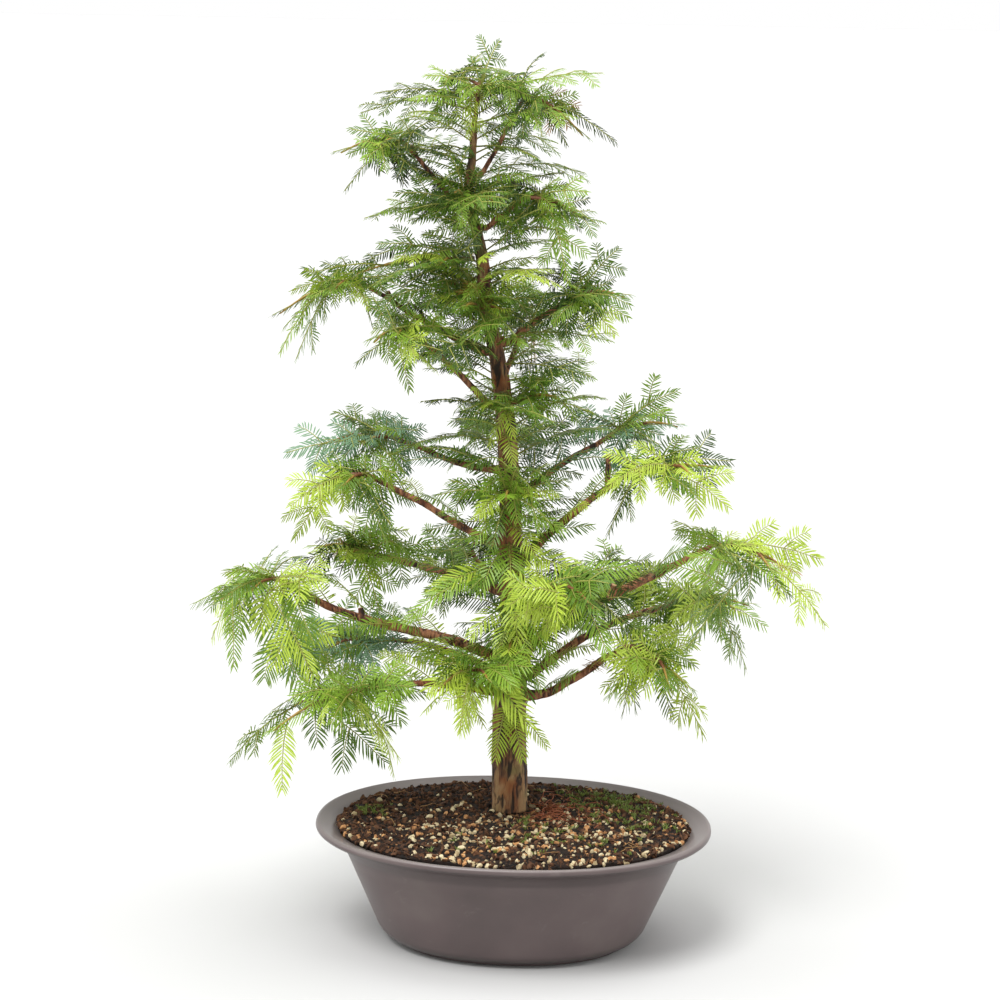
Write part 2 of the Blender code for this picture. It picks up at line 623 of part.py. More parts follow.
def aim(mass, start, k, count, rng):
    """The k-th of some evenly spread points on the skin of the mass's space."""
    out, side = mass_frame(mass)
    z = 1 - 2 * (k + 0.5) / count
    ring = math.sqrt(1 - z * z)
    turn = k * GOLDEN_ANGLE + rng.uniform(-AIM_TURN, AIM_TURN)
    z = max(-1.0, min(1.0, z + rng.uniform(-AIM_TILT, AIM_TILT)))
    a, s = ring * math.cos(turn), ring * math.sin(turn)
    along = a * (mass.forward if a > 0 else mass.back)
    share = max(0.0, along / mass.forward)
    upward = z * (mass.up if z > 0 else mass.down) + mass.bend * share * (1.6 - 0.6 * share)
    return start + out * along + side * s * mass.side + Vector((0, 0, upward))


def best_root(lines, target, taken):
    """The free point on the mass's stem or twigs from which a spray grows most naturally to target."""
    best, least = None, 1e9
    for number, line in enumerate(lines):
        for k in range(1, ROOT_PLACES):
            if (number, k) in taken:
                continue
            point, ahead = point_along(line, k / ROOT_PLACES)
            way = target - point
            length = way.length
            if length < SPRAY_NEAREST:
                continue
            angle = ahead.angle(way)
            cost = abs(length - SPRAY_LIKELY) + SPRAY_STRAY * (angle - SPRAY_ANGLE) ** 2
            if cost < least:
                best, least = (number, k, point), cost
    return best


def touches(vertices, faces, trees):
    candidate = tree_of(vertices, faces)
    return any(candidate.overlap(tree) for tree in trees)


def carried_by(mass, tips, trunk_tree):
    """Where the mass's stem starts and the way it leaves: its bough's tip, the trunk or its top."""
    if mass.name in tips:
        tip, ahead = tips[mass.name]
        return tip + ahead * GAP, ahead
    if mass.height is None:
        foot, top = TRUNK_STEPS[0].height, TRUNK_STEPS[-1].height
        end, _ = trunk_at(top)
        below, _ = trunk_at(top - (top - foot) / TRUNK_RINGS)
        ahead = (end - below).normalized()
        return end + ahead * GAP, ahead
    start = meet_trunk(trunk_tree, mass.height, mass.azimuth, STEM_RADIUS)
    return start, heading(mass.azimuth)


def grow_masses(limb_trees, tips, trunk_tree):
    """Each mass's closed shapes: its stem, its twigs and its sprays, clear of everything else."""
    shapes = {mass.name: [] for mass in MASSES}
    trees = {mass.name: [] for mass in MASSES}
    lines, starts = {}, {}

    def others(name):
        found = list(limb_trees)
        for other, grown in trees.items():
            if other != name:
                found += grown
        return found

    def keep(name, vertices, faces):
        shapes[name].append((vertices, faces))
        trees[name].append(tree_of(vertices, faces))

    for mass in MASSES:
        starts[mass.name], ahead = carried_by(mass, tips, trunk_tree)
        stem = stem_line(mass, starts[mass.name], ahead)
        radii = tapered(STEM_RADIUS, STEM_TIP_RADIUS, STEM_STEPS)
        if mass.name in tips:
            radii[0] = radii[1] = min(radii[0], bough_named(mass.name).tip)
        if mass.height is None and mass.name not in tips:
            radii[0] = TRUNK_STEPS[-1].radius
        keep(mass.name, *loft(twig_rings(stem, radii)))
        lines[mass.name] = [stem]
    for mass in MASSES:
        twigs = list(zip(TWIG_PLACES, (1, -1)))
        for place, hand in twigs if mass.sprays >= FULL_MASS else twigs[:1]:
            line = twig_line(mass, lines[mass.name][0], place, hand)
            radii = tapered(TWIG_RADIUS, TWIG_TIP_RADIUS, TWIG_STEPS)
            vertices, faces = loft(twig_rings(line, radii))
            swollen, _ = loft(twig_rings(line, [r + 2 * CLEARANCE for r in radii]))
            if touches(swollen, faces, others(mass.name)):
                continue
            keep(mass.name, vertices, faces)
            lines[mass.name].append(line)
    own = {mass.name: [] for mass in MASSES}
    taken = {mass.name: set() for mass in MASSES}
    generators = {mass.name: random.Random(SEED * 1000 + k) for k, mass in enumerate(MASSES)}
    for k in range(max(mass.sprays for mass in MASSES)):
        for mass in MASSES:
            name = mass.name
            if k >= mass.sprays:
                continue
            place = (starts[name], lines[name], taken[name])
            grown = grow_spray(mass, place, k, generators[name], others(name), own[name])
            if grown:
                keep(name, *grown)
                own[name].append(tree_of(grown[0], outer_part(grown[1])))
    return shapes


def bough_named(name):
    return next(bough for bough in BOUGHS if bough.name == name)


def grow_spray(mass, place, k, rng, obstacles, own):
    """One spray towards the k-th point of the mass's space, or None where there is no room.

    place holds where the mass starts, the lines of its stem and twigs, and the roots in use.
    """
    start, lines, taken = place
    for _ in range(TRIES):
        target = aim(mass, start, k, mass.sprays, rng)
        found = best_root(lines, target, taken)
        if found is None:
            continue
        line, step, root = found
        way = target - root
        length = max(SPRAY_SHORTEST, min(SPRAY_LONGEST, way.length))
        tip = root + way.normalized() * length
        half_width = min(SPRAY_HALF_WIDTH_MOST, length * SPRAY_SLIMNESS) * rng.uniform(0.9, 1.1)
        arch = length * SPRAY_ARCH * rng.uniform(0.6, 1.3)
        roll = rng.choice((-1, 1)) * rng.uniform(ROLL_LEAST, ROLL_MOST)
        vertices, faces = spray_mesh(root, tip, arch, half_width, roll, CLEARANCE)
        if touches(vertices, faces, obstacles) or touches(vertices, outer_part(faces), own):
            continue
        taken.add((line, step))
        return spray_mesh(root, tip, arch, half_width, roll)
    return None


def keep_main_body(piece):
    """Drops every loose scrap and sealed hollow: all but the island with the most corners."""
    shell = bmesh.new()
    shell.from_mesh(piece.data)
    left = set(shell.verts)
    islands = []
    while left:
        island, edge = set(), {left.pop()}
        while edge:
            vertex = edge.pop()
            island.add(vertex)
            linked = {link.other_vert(vertex) for link in vertex.link_edges}
            edge |= linked & left
            left -= linked
        islands.append(island)
    islands.sort(key=len)
    for island in islands[:-1]:
        bmesh.ops.delete(shell, geom=list(island), context="VERTS")
    shell.to_mesh(piece.data)
    shell.free()


def make_mass(mass, shapes, group, cutters):
    """Joins a mass's shapes into one solid by a Boolean union on a collection."""
    name = "foliage_" + mass.name
    piece = mesh_object(name, *shapes[0], group)
    helpers = bpy.data.collections.new(name + "_shapes")
    cutters.children.link(helpers)
    for number, (vertices, faces) in enumerate(shapes[1:]):
        mesh_object(f"{name}_shape_{number}", vertices, faces, helpers)
    join = piece.modifiers.new("join", "BOOLEAN")
    join.operation = "UNION"
    join.operand_type = "COLLECTION"
    join.collection = helpers
    join.solver = SOLVER
    with bpy.context.temp_override(object=piece, active_object=piece, selected_objects=[piece]):
        bpy.ops.object.modifier_apply(modifier=join.name)
    for helper in list(helpers.objects):
        bpy.data.objects.remove(helper, do_unlink=True)
    bpy.data.collections.remove(helpers)
    keep_main_body(piece)
    return finish(piece, "foliage")


def main():
    clear_scene()
    group = new_collection("dawn_redwood_bonsai")
    cutters = new_collection("cutters")
    make_pot(group, cutters)
    soil = make_soil(group)
    trunk = make_trunk(group)
    trunk_tree = tree_of_object(trunk)
    boughs, tips = make_boughs(trunk_tree, group)
    limb_trees = [trunk_tree, tree_of_object(soil)] + [tree_of_object(bough) for bough in boughs]
    shapes = grow_masses(limb_trees, tips, trunk_tree)
    for mass in MASSES:
        make_mass(mass, shapes[mass.name], group, cutters)


main()
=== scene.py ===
"""Dressed model of a dawn redwood bonsai in an oval training pot.

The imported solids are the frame. The pot, trunk, boughs and foliage masses are replaced by finer
pieces in the same places, and the soil keeps its solid under a layer of loose grains. Every limb
and spray is worked out by the rule that the solids were grown by, carried on to single needles.
"""

import logging
import math
import random
from collections import defaultdict
from collections.abc import Callable, Sequence
from dataclasses import dataclass, field
from enum import Enum
from functools import partial

import bpy
import numpy as np
from bpy.types import Material, Node, NodeTree, Object
from mathutils import Matrix, Quaternion, Vector
from mathutils.bvhtree import BVHTree


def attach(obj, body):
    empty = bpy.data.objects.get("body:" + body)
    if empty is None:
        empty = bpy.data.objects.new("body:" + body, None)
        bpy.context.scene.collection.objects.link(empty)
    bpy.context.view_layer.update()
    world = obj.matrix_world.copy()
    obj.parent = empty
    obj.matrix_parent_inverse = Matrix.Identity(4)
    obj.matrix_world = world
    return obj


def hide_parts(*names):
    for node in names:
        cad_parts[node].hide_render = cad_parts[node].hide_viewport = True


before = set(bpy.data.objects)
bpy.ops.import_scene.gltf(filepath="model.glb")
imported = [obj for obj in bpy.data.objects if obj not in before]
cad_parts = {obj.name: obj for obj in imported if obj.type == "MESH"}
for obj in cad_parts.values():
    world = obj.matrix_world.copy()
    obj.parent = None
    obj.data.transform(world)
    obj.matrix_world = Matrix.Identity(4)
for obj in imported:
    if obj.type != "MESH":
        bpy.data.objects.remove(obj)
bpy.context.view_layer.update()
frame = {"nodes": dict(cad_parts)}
log = logging.getLogger("bonsai")

Output = tuple[Node, str | int]
Rows = tuple[list[Vector], list[tuple[int, ...]]]  # corners and faces
Arrays = tuple[np.ndarray, np.ndarray]  # corners and triangles

UP = Vector((0, 0, 1))
GAP = 0.0003  # left between one limb and the next
SEED = 7


class Green(Enum):
    """The colours that needles come in, each dealt out by whole sprays."""

    LIME, FRESH, LEAF, DEEP, BLUISH, RUSTY = range(6)


class Tint(Enum):
    """How a mass of sprays looks on the whole: SUNLIT and SHADED deal paler and darker greens, painted light
    and painted shade.
    """

    SUNLIT, COMMON, SHADED, BLUISH = range(4)


class Tier(Enum):
    """The parts of the crown that its small pieces are joined by."""

    LOW_RIGHT = "low_right"
    LOW_LEFT = "low_left"
    MIDDLE = "middle"
    UPPER_RIGHT = "upper_right"
    UPPER_LEFT = "upper_left"
    HIGH = "high"
    TOP = "top"


class Grain(Enum):
    """The kinds of grain in the soil mix."""

    BARK, LOAM, PUMICE, CLAY = range(4)


# Materials


def linear(colour: str) -> tuple[float, float, float, float]:
    """Turns an sRGB hex colour such as #8090a0 into linear red, green, blue and an alpha of 1."""
    channels = [int(colour[k : k + 2], 16) / 255 for k in (1, 3, 5)]
    return (*(c / 12.92 if c <= 0.04045 else ((c + 0.055) / 1.055) ** 2.4 for c in channels), 1.0)


def connect(tree: NodeTree, node: Node, links: dict[str | int, Output]) -> None:
    """Feeds a node's inputs from other nodes' outputs."""
    for name, (source, output) in links.items():
        tree.links.new(source.outputs[output], node.inputs[name])


def add_node(tree: NodeTree, kind: str, settings: dict | None = None, links: dict | None = None) -> Node:
    """Adds a node with its settings and incoming links.

    Args:
        tree: The node tree that it joins.
        kind: The node's type after "ShaderNode".
        settings: Values by socket, by property where no socket has the name, or a ramp's "stops".
        links: For each input socket, the node and output that feed it.

    Returns:
        The new node.
    """
    node = tree.nodes.new("ShaderNode" + kind)
    for name, value in (settings or {}).items():
        if name == "stops":
            elements = node.color_ramp.elements
            for _ in value[2:]:
                elements.new(0.5)
            for element, (place, colour) in zip(elements, value):
                element.position = place
                element.color = linear(colour)
        elif isinstance(name, int) or name in node.inputs:
            node.inputs[name].default_value = value
        else:
            setattr(node, name, value)
    connect(tree, node, links or {})
    return node


def lay_over(tree: NodeTree, below: Output, driver: Output, span: Sequence[float], colour: str) -> Output:
    """Lays one colour over another.

    Args:
        tree: The node tree.
        below: What gives the colour so far.
        driver: What tells where the new one shows.
        span: The driver's value where none of it shows, the one where most does, and how much.
        colour: The new colour in hex.

    Returns:
        What gives the colour now.
    """
    limits = dict(zip(("From Min", "From Max", "To Max"), span))
    share = add_node(tree, "MapRange", limits, {"Value": driver})
    settings = {"data_type": "RGBA", 7: linear(colour)}
    return add_node(tree, "Mix", settings, {0: (share, "Result"), 6: below}), 2


def new_material(name: str, roughness: float, ior: float, **settings: object) -> tuple[Material, Node]:
    """Makes a material.

    Args:
        name: Its name.
        roughness: How matt it is.
        ior: Its index of refraction.
        settings: Other values of its shader, with low lines for spaces.

    Returns:
        The material and its Principled shader.
    """
    material = bpy.data.materials.new(name)
    material.use_nodes = True
    shader = material.node_tree.nodes["Principled BSDF"]
    for socket, value in (settings | {"Roughness": roughness, "IOR": ior}).items():
        shader.inputs[socket.replace("_", " ")].default_value = value
    return material, shader


@dataclass(frozen=True)
class PlainFinish:
    """A finish of one plain colour, for what is so small that its colour is dealt out piece by piece."""

    name: str
    colour: str
    roughness: float = 0.5
    ior: float = 1.45
    shine: float = 0.5

    def material(self) -> Material:
        """Returns the plain material."""
        skin = {"Base_Color": linear(self.colour), "Specular_IOR_Level": self.shine}
        return new_material(self.name, self.roughness, self.ior, **skin)[0]


@dataclass(frozen=True)
class BarkFinish:
    """Fibrous bark that peels in upright strips: matt, with painted shade in its fissures, and dark knots
    between lit ridges.
    """

    name: str
    dark: str
    middle: str
    light: str
    rust: str
    strip_mm: float
    bump_mm: float
    knot_mm: float
    moss: str | None = None
    patch_mm: float = 29.41

    def material(self) -> Material:
        """Returns the bark: strips, patches, painted shade in the fissures and knots in its colour, and
        fibres and fissures in its bump.
        """
        material, shader = new_material(self.name, 0.78, 1.5)
        tree = material.node_tree
        place = (add_node(tree, "TexCoord"), "Object")
        # Patterns that run up the limb are drawn out upright.
        drawn, plates, tall = (
            (add_node(tree, "Mapping", {"Scale": (1, 1, height)}, {"Vector": place}), "Vector")
            for height in (0.16, 0.28, 0.55)
        )
        strips, fibres, fissures, patches = (
            (add_node(tree, "TexNoise", settings | {"Scale": 1000 / size_mm}, {"Vector": vector}), "Fac")
            for size_mm, vector, settings in (
                (self.strip_mm * 2.2, drawn, {"Detail": 8.0, "Roughness": 0.62, "Distortion": 0.35}),
                (self.strip_mm, drawn, {"Detail": 10.0, "Roughness": 0.7}),
                (self.strip_mm * 1.9, plates, {"Detail": 5.0, "Distortion": 1.2}),
                (self.patch_mm, place, {"Detail": 4.0}),
            )
        )
        knots = add_node(tree, "TexVoronoi", {"Scale": 1000 / self.knot_mm}, {"Vector": tall})
        stops = ((0.36, self.dark), (0.46, self.middle), (0.57, self.light), (0.72, self.middle))
        found = (add_node(tree, "ValToRGB", {"stops": stops}, {"Fac": strips}), "Color")
        for driver, span, colour in (
            (patches, (0.50, 0.36, 0.60), self.rust),
            (patches, (0.54, 0.68, 0.60), self.moss),
            # painted shade: the colour darkens where the deep bump's fissures sink
            (fissures, (0.47, 0.39, 0.90), self.dark),
            ((knots, "Distance"), (0.24, 0.12, 0.85), self.dark),
        ):
            if colour:
                found = lay_over(tree, found, driver, span, colour)
        relief = {"Strength": 0.8, "Distance": self.bump_mm / 1000}
        fine = add_node(tree, "Bump", relief, {"Height": fibres})
        relief = {"Strength": 0.9, "Distance": self.bump_mm * 1.6 / 1000}
        deep = add_node(tree, "Bump", relief, {"Height": fissures, "Normal": (fine, "Normal")})
        connect(tree, shader, {"Base Color": found, "Normal": (deep, "Normal")})
        return material


@dataclass(frozen=True)
class MouldedPotFinish:
    """Moulded brown-grey plastic with mineral filler: satin, cloudy, faintly scuffed by handling."""

    cloud_mm: float = 71.43
    mark_mm: float = 23.81
    grain_mm: float = 1.111

    def material(self) -> Material:
        """Returns the pot's plastic: clouded colour, pale handling marks, dust and painted light on what
        looks up, painted shade on what looks down, and uneven gloss.
        """
        material, shader = new_material("moulded_pot", 0.5, 1.46)
        tree = material.node_tree
        place = (add_node(tree, "TexCoord"), "Object")
        clouds, marks, grain = (
            (add_node(tree, "TexNoise", settings | {"Scale": 1000 / size_mm}, {"Vector": place}), "Fac")
            for size_mm, settings in (
                (self.cloud_mm, {"Detail": 4.0}),
                (self.mark_mm, {"Detail": 8.0, "Roughness": 0.7, "Distortion": 0.6}),
                (self.grain_mm, {"Detail": 2.0}),
            )
        )
        stops = ((0.30, "#564b4a"), (0.55, "#605352"), (0.80, "#6b605d"))
        found = (add_node(tree, "ValToRGB", {"stops": stops}, {"Fac": clouds}), "Color")
        normal = (add_node(tree, "NewGeometry"), "Normal")
        tilt = (add_node(tree, "SeparateXYZ", None, {"Vector": normal}), "Z")
        for driver, span, colour in (
            (marks, (0.60, 0.80, 0.30), "#948d89"),  # chalky bloom and handling marks
            (tilt, (0.30, 0.95, 0.42), "#a39b98"),  # dust and painted light on what looks up
            (tilt, (-0.42, -0.82, 0.75), "#352d2c"),  # painted shade: darker on what looks down, as in the cove under the rim
        ):
            found = lay_over(tree, found, driver, span, colour)
        limits = {"From Min": 0.35, "From Max": 0.7, "To Min": 0.30, "To Max": 0.40}
        gloss = add_node(tree, "MapRange", limits, {"Value": clouds})
        bump = add_node(tree, "Bump", {"Strength": 0.2, "Distance": 0.0001}, {"Height": grain})
        links = {"Base Color": found, "Roughness": (gloss, "Result"), "Normal": (bump, "Normal")}
        connect(tree, shader, links)
        return material


@dataclass(frozen=True)
class GrainFinish:
    """A grain of the soil mix: porous or fibrous, so matt, with its colour varied grain by grain."""

    name: str
    dark: str
    light: str
    size_mm: float

    def material(self) -> Material:
        """Returns a matt material whose colour changes over about the size of a grain."""
        material, shader = new_material(self.name, 0.9, 1.45)
        tree = material.node_tree
        place = (add_node(tree, "TexCoord"), "Object")
        noise = add_node(tree, "TexNoise", {"Scale": 1000 / self.size_mm, "Detail": 3.0}, {"Vector": place})
        stops = ((0.36, self.dark), (0.62, self.light))
        ramp = add_node(tree, "ValToRGB", {"stops": stops}, {"Fac": (noise, "Fac")})
        connect(tree, shader, {"Base Color": (ramp, "Color")})
        return material


# Soft deciduous needles: a thin waxy skin over green flesh, so satin and a little bright.
NEEDLES = [
    PlainFinish("needle_" + green.name.lower(), colour, roughness, 1.42, 0.45)
    for green, colour, roughness in (
        (Green.LIME, "#adc442", 0.36),
        (Green.FRESH, "#83a534", 0.36),
        (Green.LEAF, "#5f8026", 0.36),
        (Green.DEEP, "#3c551c", 0.36),
        (Green.BLUISH, "#769a76", 0.50),
        (Green.RUSTY, "#9a6f38", 0.50),
    )
]
# Shoots under a thin smooth rind, so satin: green this year, orange brown as they turn to wood.
GREEN_SHOOT = PlainFinish("green_shoot", "#a3a650")
NEW_SHOOT = PlainFinish("new_shoot", "#a5853f")
OLD_SHOOT = PlainFinish("old_shoot", "#84563a")
CUT_WOOD = PlainFinish("cut_wood", "#c9a27a")  # cut end grain: a pale even disc
MOSS = PlainFinish("moss", "#708036")  # fine wet leaves: a yellow green glint
ROOT_FIBRE = PlainFinish("root_fibre", "#9c5837")  # young root skin: rusty threads
DRY_STRAND = PlainFinish("dry_strand", "#9a7446")  # dead needles and straw: dull tan
FLOOR = PlainFinish("studio_floor", "#cbcbca", 0.95, 1.45, 0.1)  # matt paper: soft shadows alone
GRAINS = {
    Grain.BARK: GrainFinish("pine_bark_chip", "#1f130c", "#6b4830", 6.0),  # fibrous brown flakes
    Grain.LOAM: GrainFinish("dark_loam", "#100a07", "#2b1c13", 5.0),  # damp crumbs, nearly black
    Grain.PUMICE: GrainFinish("pumice_grain", "#a8946e", "#dfd0aa", 7.0),  # pitted cream stones
    Grain.CLAY: GrainFinish("fired_clay_grain", "#94643c", "#cf9c68", 7.0),  # dusty baked orange
}
# Old bark on the trunk: greyed strips, deep fissures with painted shade in them and a little moss. Young
# bark on the boughs:
# finer, smoother and redder.
TRUNK_BARK = BarkFinish(
    "trunk_bark", "#1c130d", "#6f4a31", "#a8865c", "#9a5628", 4.2, 1.3, 40.0, "#6c6a3a"
)
BOUGH_BARK = BarkFinish("bough_bark", "#2c1b14", "#7c4f39", "#b37c59", "#8d4a2a", 2.4, 0.5, 22.0)


# Places and directions


def blended(a: float, b: float, share: float) -> float:
    """Returns the number a share of the way from a to b."""
    return a + (b - a) * share


def tapered(root: float, tip: float, steps: int) -> list[float]:
    """Returns a run of radii from root to tip."""
    return [blended(root, tip, k / steps) for k in range(steps + 1)]


def hermite(start: float, end: float, slope_in: float, slope_out: float, t: float) -> float:
    """Returns a cubic from start to end over t 0 to 1, leaving and arriving at the given slopes."""
    a, b = 2 * t**3 - 3 * t**2 + 1, -2 * t**3 + 3 * t**2
    c, d = t**3 - 2 * t**2 + t, t**3 - t**2
    return a * start + b * end + c * slope_in + d * slope_out


def heading(azimuth: float) -> Vector:
    """Returns the level direction at an azimuth in degrees."""
    return Vector((math.cos(math.radians(azimuth)), math.sin(math.radians(azimuth)), 0.0))


def level_across(way: Vector) -> Vector:
    """Returns the level direction across a way, or X where it is upright."""
    across = way.cross(UP)
    return across.normalized() if across.length > 0.05 * way.length else Vector((1, 0, 0))


def point_along(points: Sequence[Vector], share: float) -> tuple[Vector, Vector]:
    """Returns the point at a share of a line, and the line's direction there."""
    place = share * (len(points) - 1)
    k = min(int(place), len(points) - 2)
    return points[k].lerp(points[k + 1], place - k), (points[k + 1] - points[k]).normalized()


# Meshes


def deselect_all() -> None:
    """Leaves nothing selected or active, so that an operator acts only on what is added next."""
    if bpy.context.object and bpy.context.object.mode != "OBJECT":
        bpy.ops.object.mode_set(mode="OBJECT")
    bpy.ops.object.select_all(action="DESELECT")


def choose(*pieces: Object) -> None:
    """Makes some objects the only ones selected, and the first of them active."""
    deselect_all()
    for piece in pieces:
        piece.select_set(True)
    bpy.context.view_layer.objects.active = pieces[0]


def edit_whole(*operators: Callable[[], object]) -> Object:
    """Runs edit-mode operators in turn on the whole active object, and returns it."""
    bpy.ops.object.mode_set(mode="EDIT")
    bpy.ops.mesh.select_all(action="SELECT")
    for operator in operators:
        operator()
    bpy.ops.object.mode_set(mode="OBJECT")
    return bpy.context.object


def clean_skin() -> None:
    """Closes the seams of the mesh in edit mode and turns its faces outwards."""
    bpy.ops.mesh.select_all(action="SELECT")
    bpy.ops.mesh.remove_doubles(threshold=1e-6)
    bpy.ops.mesh.normals_make_consistent(inside=False)


def apply_modifiers(piece: Object) -> None:
    """Applies every modifier in order."""
    choose(piece)
    for name in [modifier.name for modifier in piece.modifiers]:
        bpy.ops.object.modifier_apply(modifier=name)


def link(name: str, data: bpy.types.ID) -> Object:
    """Returns a new object in the scene that holds some data."""
    holder = bpy.data.objects.new(name, data)
    bpy.context.scene.collection.objects.link(holder)
    return holder


def join_named(name: str, pieces: Sequence[Object]) -> Object:
    """Joins meshes into one object and names it."""
    choose(*pieces)
    if len(pieces) > 1:
        bpy.ops.object.join()
    joined = bpy.context.object
    joined.name = name
    joined.data.name = name
    return joined


def settle(piece: Object, slot: str, *nodes: str) -> Object:
    """Puts a finished piece into the frame.

    Args:
        piece: The piece.
        slot: Not used.
        nodes: The solids that it stands for.

    Returns:
        The piece.
    """
    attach(piece, "root")
    if nodes:
        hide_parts(*nodes)
    return piece


def tree_of_object(piece: Object) -> BVHTree:
    """Returns a search tree over an object's mesh."""
    corners = [vertex.co.copy() for vertex in piece.data.vertices]
    return BVHTree.FromPolygons(corners, [tuple(face.vertices) for face in piece.data.polygons])


def loft(rings: Sequence[Sequence[Vector]]) -> Rows:
    """Returns corners and faces of a closed skin through rings of equal length."""
    count = len(rings[0])
    last = (len(rings) - 1) * count
    faces = [tuple(range(count - 1, -1, -1))]
    for low in range(0, last, count):
        for k in range(count):
            after = (k + 1) % count
            faces.append((low + k, low + after, low + count + after, low + count + k))
    faces.append(tuple(range(last, last + count)))
    return [point for ring in rings for point in ring], faces


def smooth_line(points: Sequence[Vector], step: float) -> list[Vector]:
    """Returns a smooth line through some points, with points of its own about a step apart."""
    found = []
    for k in range(len(points) - 1):
        p, q, r, s = (points[min(max(k + j, 0), len(points) - 1)] for j in (-1, 0, 1, 2))
        count = max(1, round((r - q).length / step))
        for t in (i / count for i in range(count)):
            bend = (2 * p - 5 * q + 4 * r - s) * t**2 + (3 * q - p - 3 * r + s) * t**3
            found.append(0.5 * (2 * q + (r - p) * t + bend))
    return [*found, points[-1].copy()]


@dataclass
class Batch:
    """Corners and triangles gathered for one joined piece."""

    corners: list[np.ndarray] = field(default_factory=list)
    faces: list[np.ndarray] = field(default_factory=list)
    kinds: list[np.ndarray] = field(default_factory=list)
    count: int = 0

    def add(self, corners: np.ndarray, faces: np.ndarray, kind: int | np.ndarray) -> None:
        """Adds a shape.

        Args:
            corners: One row each.
            faces: Triangles, numbered from the shape's own first corner.
            kind: The number of its material, or one for each face.
        """
        self.corners.append(corners)
        self.faces.append(faces + self.count)
        self.kinds.append(np.broadcast_to(kind, len(faces)))
        self.count += len(corners)

    def piece(self, name: str, materials: Sequence[Material], smooth: bool = False) -> Object:
        """Makes one object of what was gathered.

        Args:
            name: The object's name.
            materials: The materials that it holds, by number.
            smooth: Whether its faces are shaded smooth.

        Returns:
            The object.
        """
        corners, faces, kinds = (np.concatenate(rows) for rows in (self.corners, self.faces, self.kinds))
        mesh = bpy.data.meshes.new(name)
        mesh.vertices.add(len(corners))
        mesh.vertices.foreach_set("co", corners.astype(np.float32).ravel())
        mesh.loops.add(3 * len(faces))
        mesh.loops.foreach_set("vertex_index", faces.astype(np.int32).ravel())
        mesh.polygons.add(len(faces))
        mesh.polygons.foreach_set("loop_start", np.arange(0, 3 * len(faces), 3, dtype=np.int32))
        mesh.polygons.foreach_set("use_smooth", np.full(len(faces), smooth))
        for material in materials:
            mesh.materials.append(material)
        mesh.polygons.foreach_set("material_index", kinds.astype(np.int32))
        mesh.update(calc_edges=True)
        return link(name, mesh)


def unit(rows: np.ndarray) -> np.ndarray:
    """Returns the rows at unit length."""
    return rows / np.linalg.norm(rows, axis=-1, keepdims=True)


def tube(points: np.ndarray, radii: Sequence[float], sides: int) -> Arrays:
    """Makes a pointed tube along a line.

    Args:
        points: The line, one row each.
        radii: Its radius at each point.
        sides: How many sides it has.

    Returns:
        Corners and triangles.
    """
    ahead = unit(np.gradient(points, axis=0))
    aside = np.cross(ahead[0], (0.0, 0.0, 1.0))
    if np.linalg.norm(aside) < 0.1:
        aside = np.cross(ahead[0], (1.0, 0.0, 0.0))
    angles = 2 * np.pi * np.arange(sides) / sides
    rings = [points[0] - ahead[0] * radii[0] * 0.3]
    for point, way, radius in zip(points, ahead, radii):
        aside = unit(aside - way * way.dot(aside))
        top = np.cross(way, aside)
        rings.append(point + radius * (np.outer(np.cos(angles), aside) + np.outer(np.sin(angles), top)))
    rings.append(points[-1] + ahead[-1] * radii[-1])
    k = np.arange(sides)
    after = (k + 1) % sides
    faces = [np.stack((1 + after, 1 + k, np.zeros_like(k)), 1)]
    last = 1 + (len(points) - 1) * sides
    for low in range(1, last, sides):
        high = low + sides
        faces.append(np.stack((low + k, low + after, high + after), 1))
        faces.append(np.stack((low + k, high + after, high + k), 1))
    faces.append(np.stack((last + k, last + after, np.full_like(k, last + sides)), 1))
    return np.vstack(rings), np.vstack(faces)


def limb_mesh(name: str, points: Sequence[Vector], radii: Sequence[float], resolution: int) -> Object:
    """Makes a limb from a bevelled curve.

    Args:
        name: The object's name.
        points: Its centre line.
        radii: Its radius at each point.
        resolution: The curve's bevel resolution.

    Returns:
        The limb as a mesh.
    """
    curve = bpy.data.curves.new(name, "CURVE")
    curve.dimensions = "3D"
    curve.twist_mode = "MINIMUM"
    curve.bevel_depth = 1.0
    curve.bevel_resolution = resolution
    curve.use_fill_caps = True
    spline = curve.splines.new("POLY")
    spline.points.add(len(points) - 1)
    for place, point, radius in zip(spline.points, points, radii):
        place.co = (*point, 1.0)
        place.radius = radius
    choose(link(name, curve))
    bpy.ops.object.convert(target="MESH")
    return edit_whole(clean_skin)


def roughen(piece: Object, size_mm: float, drawn_out: float, strength_mm: float, hard: bool) -> None:
    """Raises noise on a mesh and keeps it.

    Args:
        piece: The mesh.
        size_mm: The noise's size across.
        drawn_out: How much taller than wide it is.
        strength_mm: From its lowest to its highest point.
        hard: Whether it has keen creases.
    """
    texture = bpy.data.textures.new("relief", "CLOUDS")
    texture.noise_scale = 1.0
    texture.noise_depth = 2
    texture.noise_type = "HARD_NOISE" if hard else "SOFT_NOISE"
    guide = link("relief_guide", None)
    guide.scale = (size_mm / 1000, size_mm / 1000, size_mm * drawn_out / 1000)
    bpy.context.view_layer.update()
    modifier = piece.modifiers.new("relief", "DISPLACE")
    modifier.texture = texture
    modifier.texture_coords = "OBJECT"
    modifier.texture_coords_object = guide
    modifier.strength = strength_mm / 1000
    modifier.mid_level = 0.5
    apply_modifiers(piece)
    bpy.data.objects.remove(guide)
    bpy.data.textures.remove(texture)


# The rule that trunk, boughs and masses grow by


@dataclass(frozen=True)
class TrunkStep:
    """A place on the trunk's centre line, with its radius there."""

    height: float
    side: float
    depth: float
    radius: float


@dataclass(frozen=True)
class Bough:
    """One bough: where it leaves the trunk, how far it goes and how thick it is."""

    name: str
    height: float
    azimuth: float
    reach: float
    rise: float
    slope_in: float
    slope_out: float
    sway: float
    root: float
    tip: float


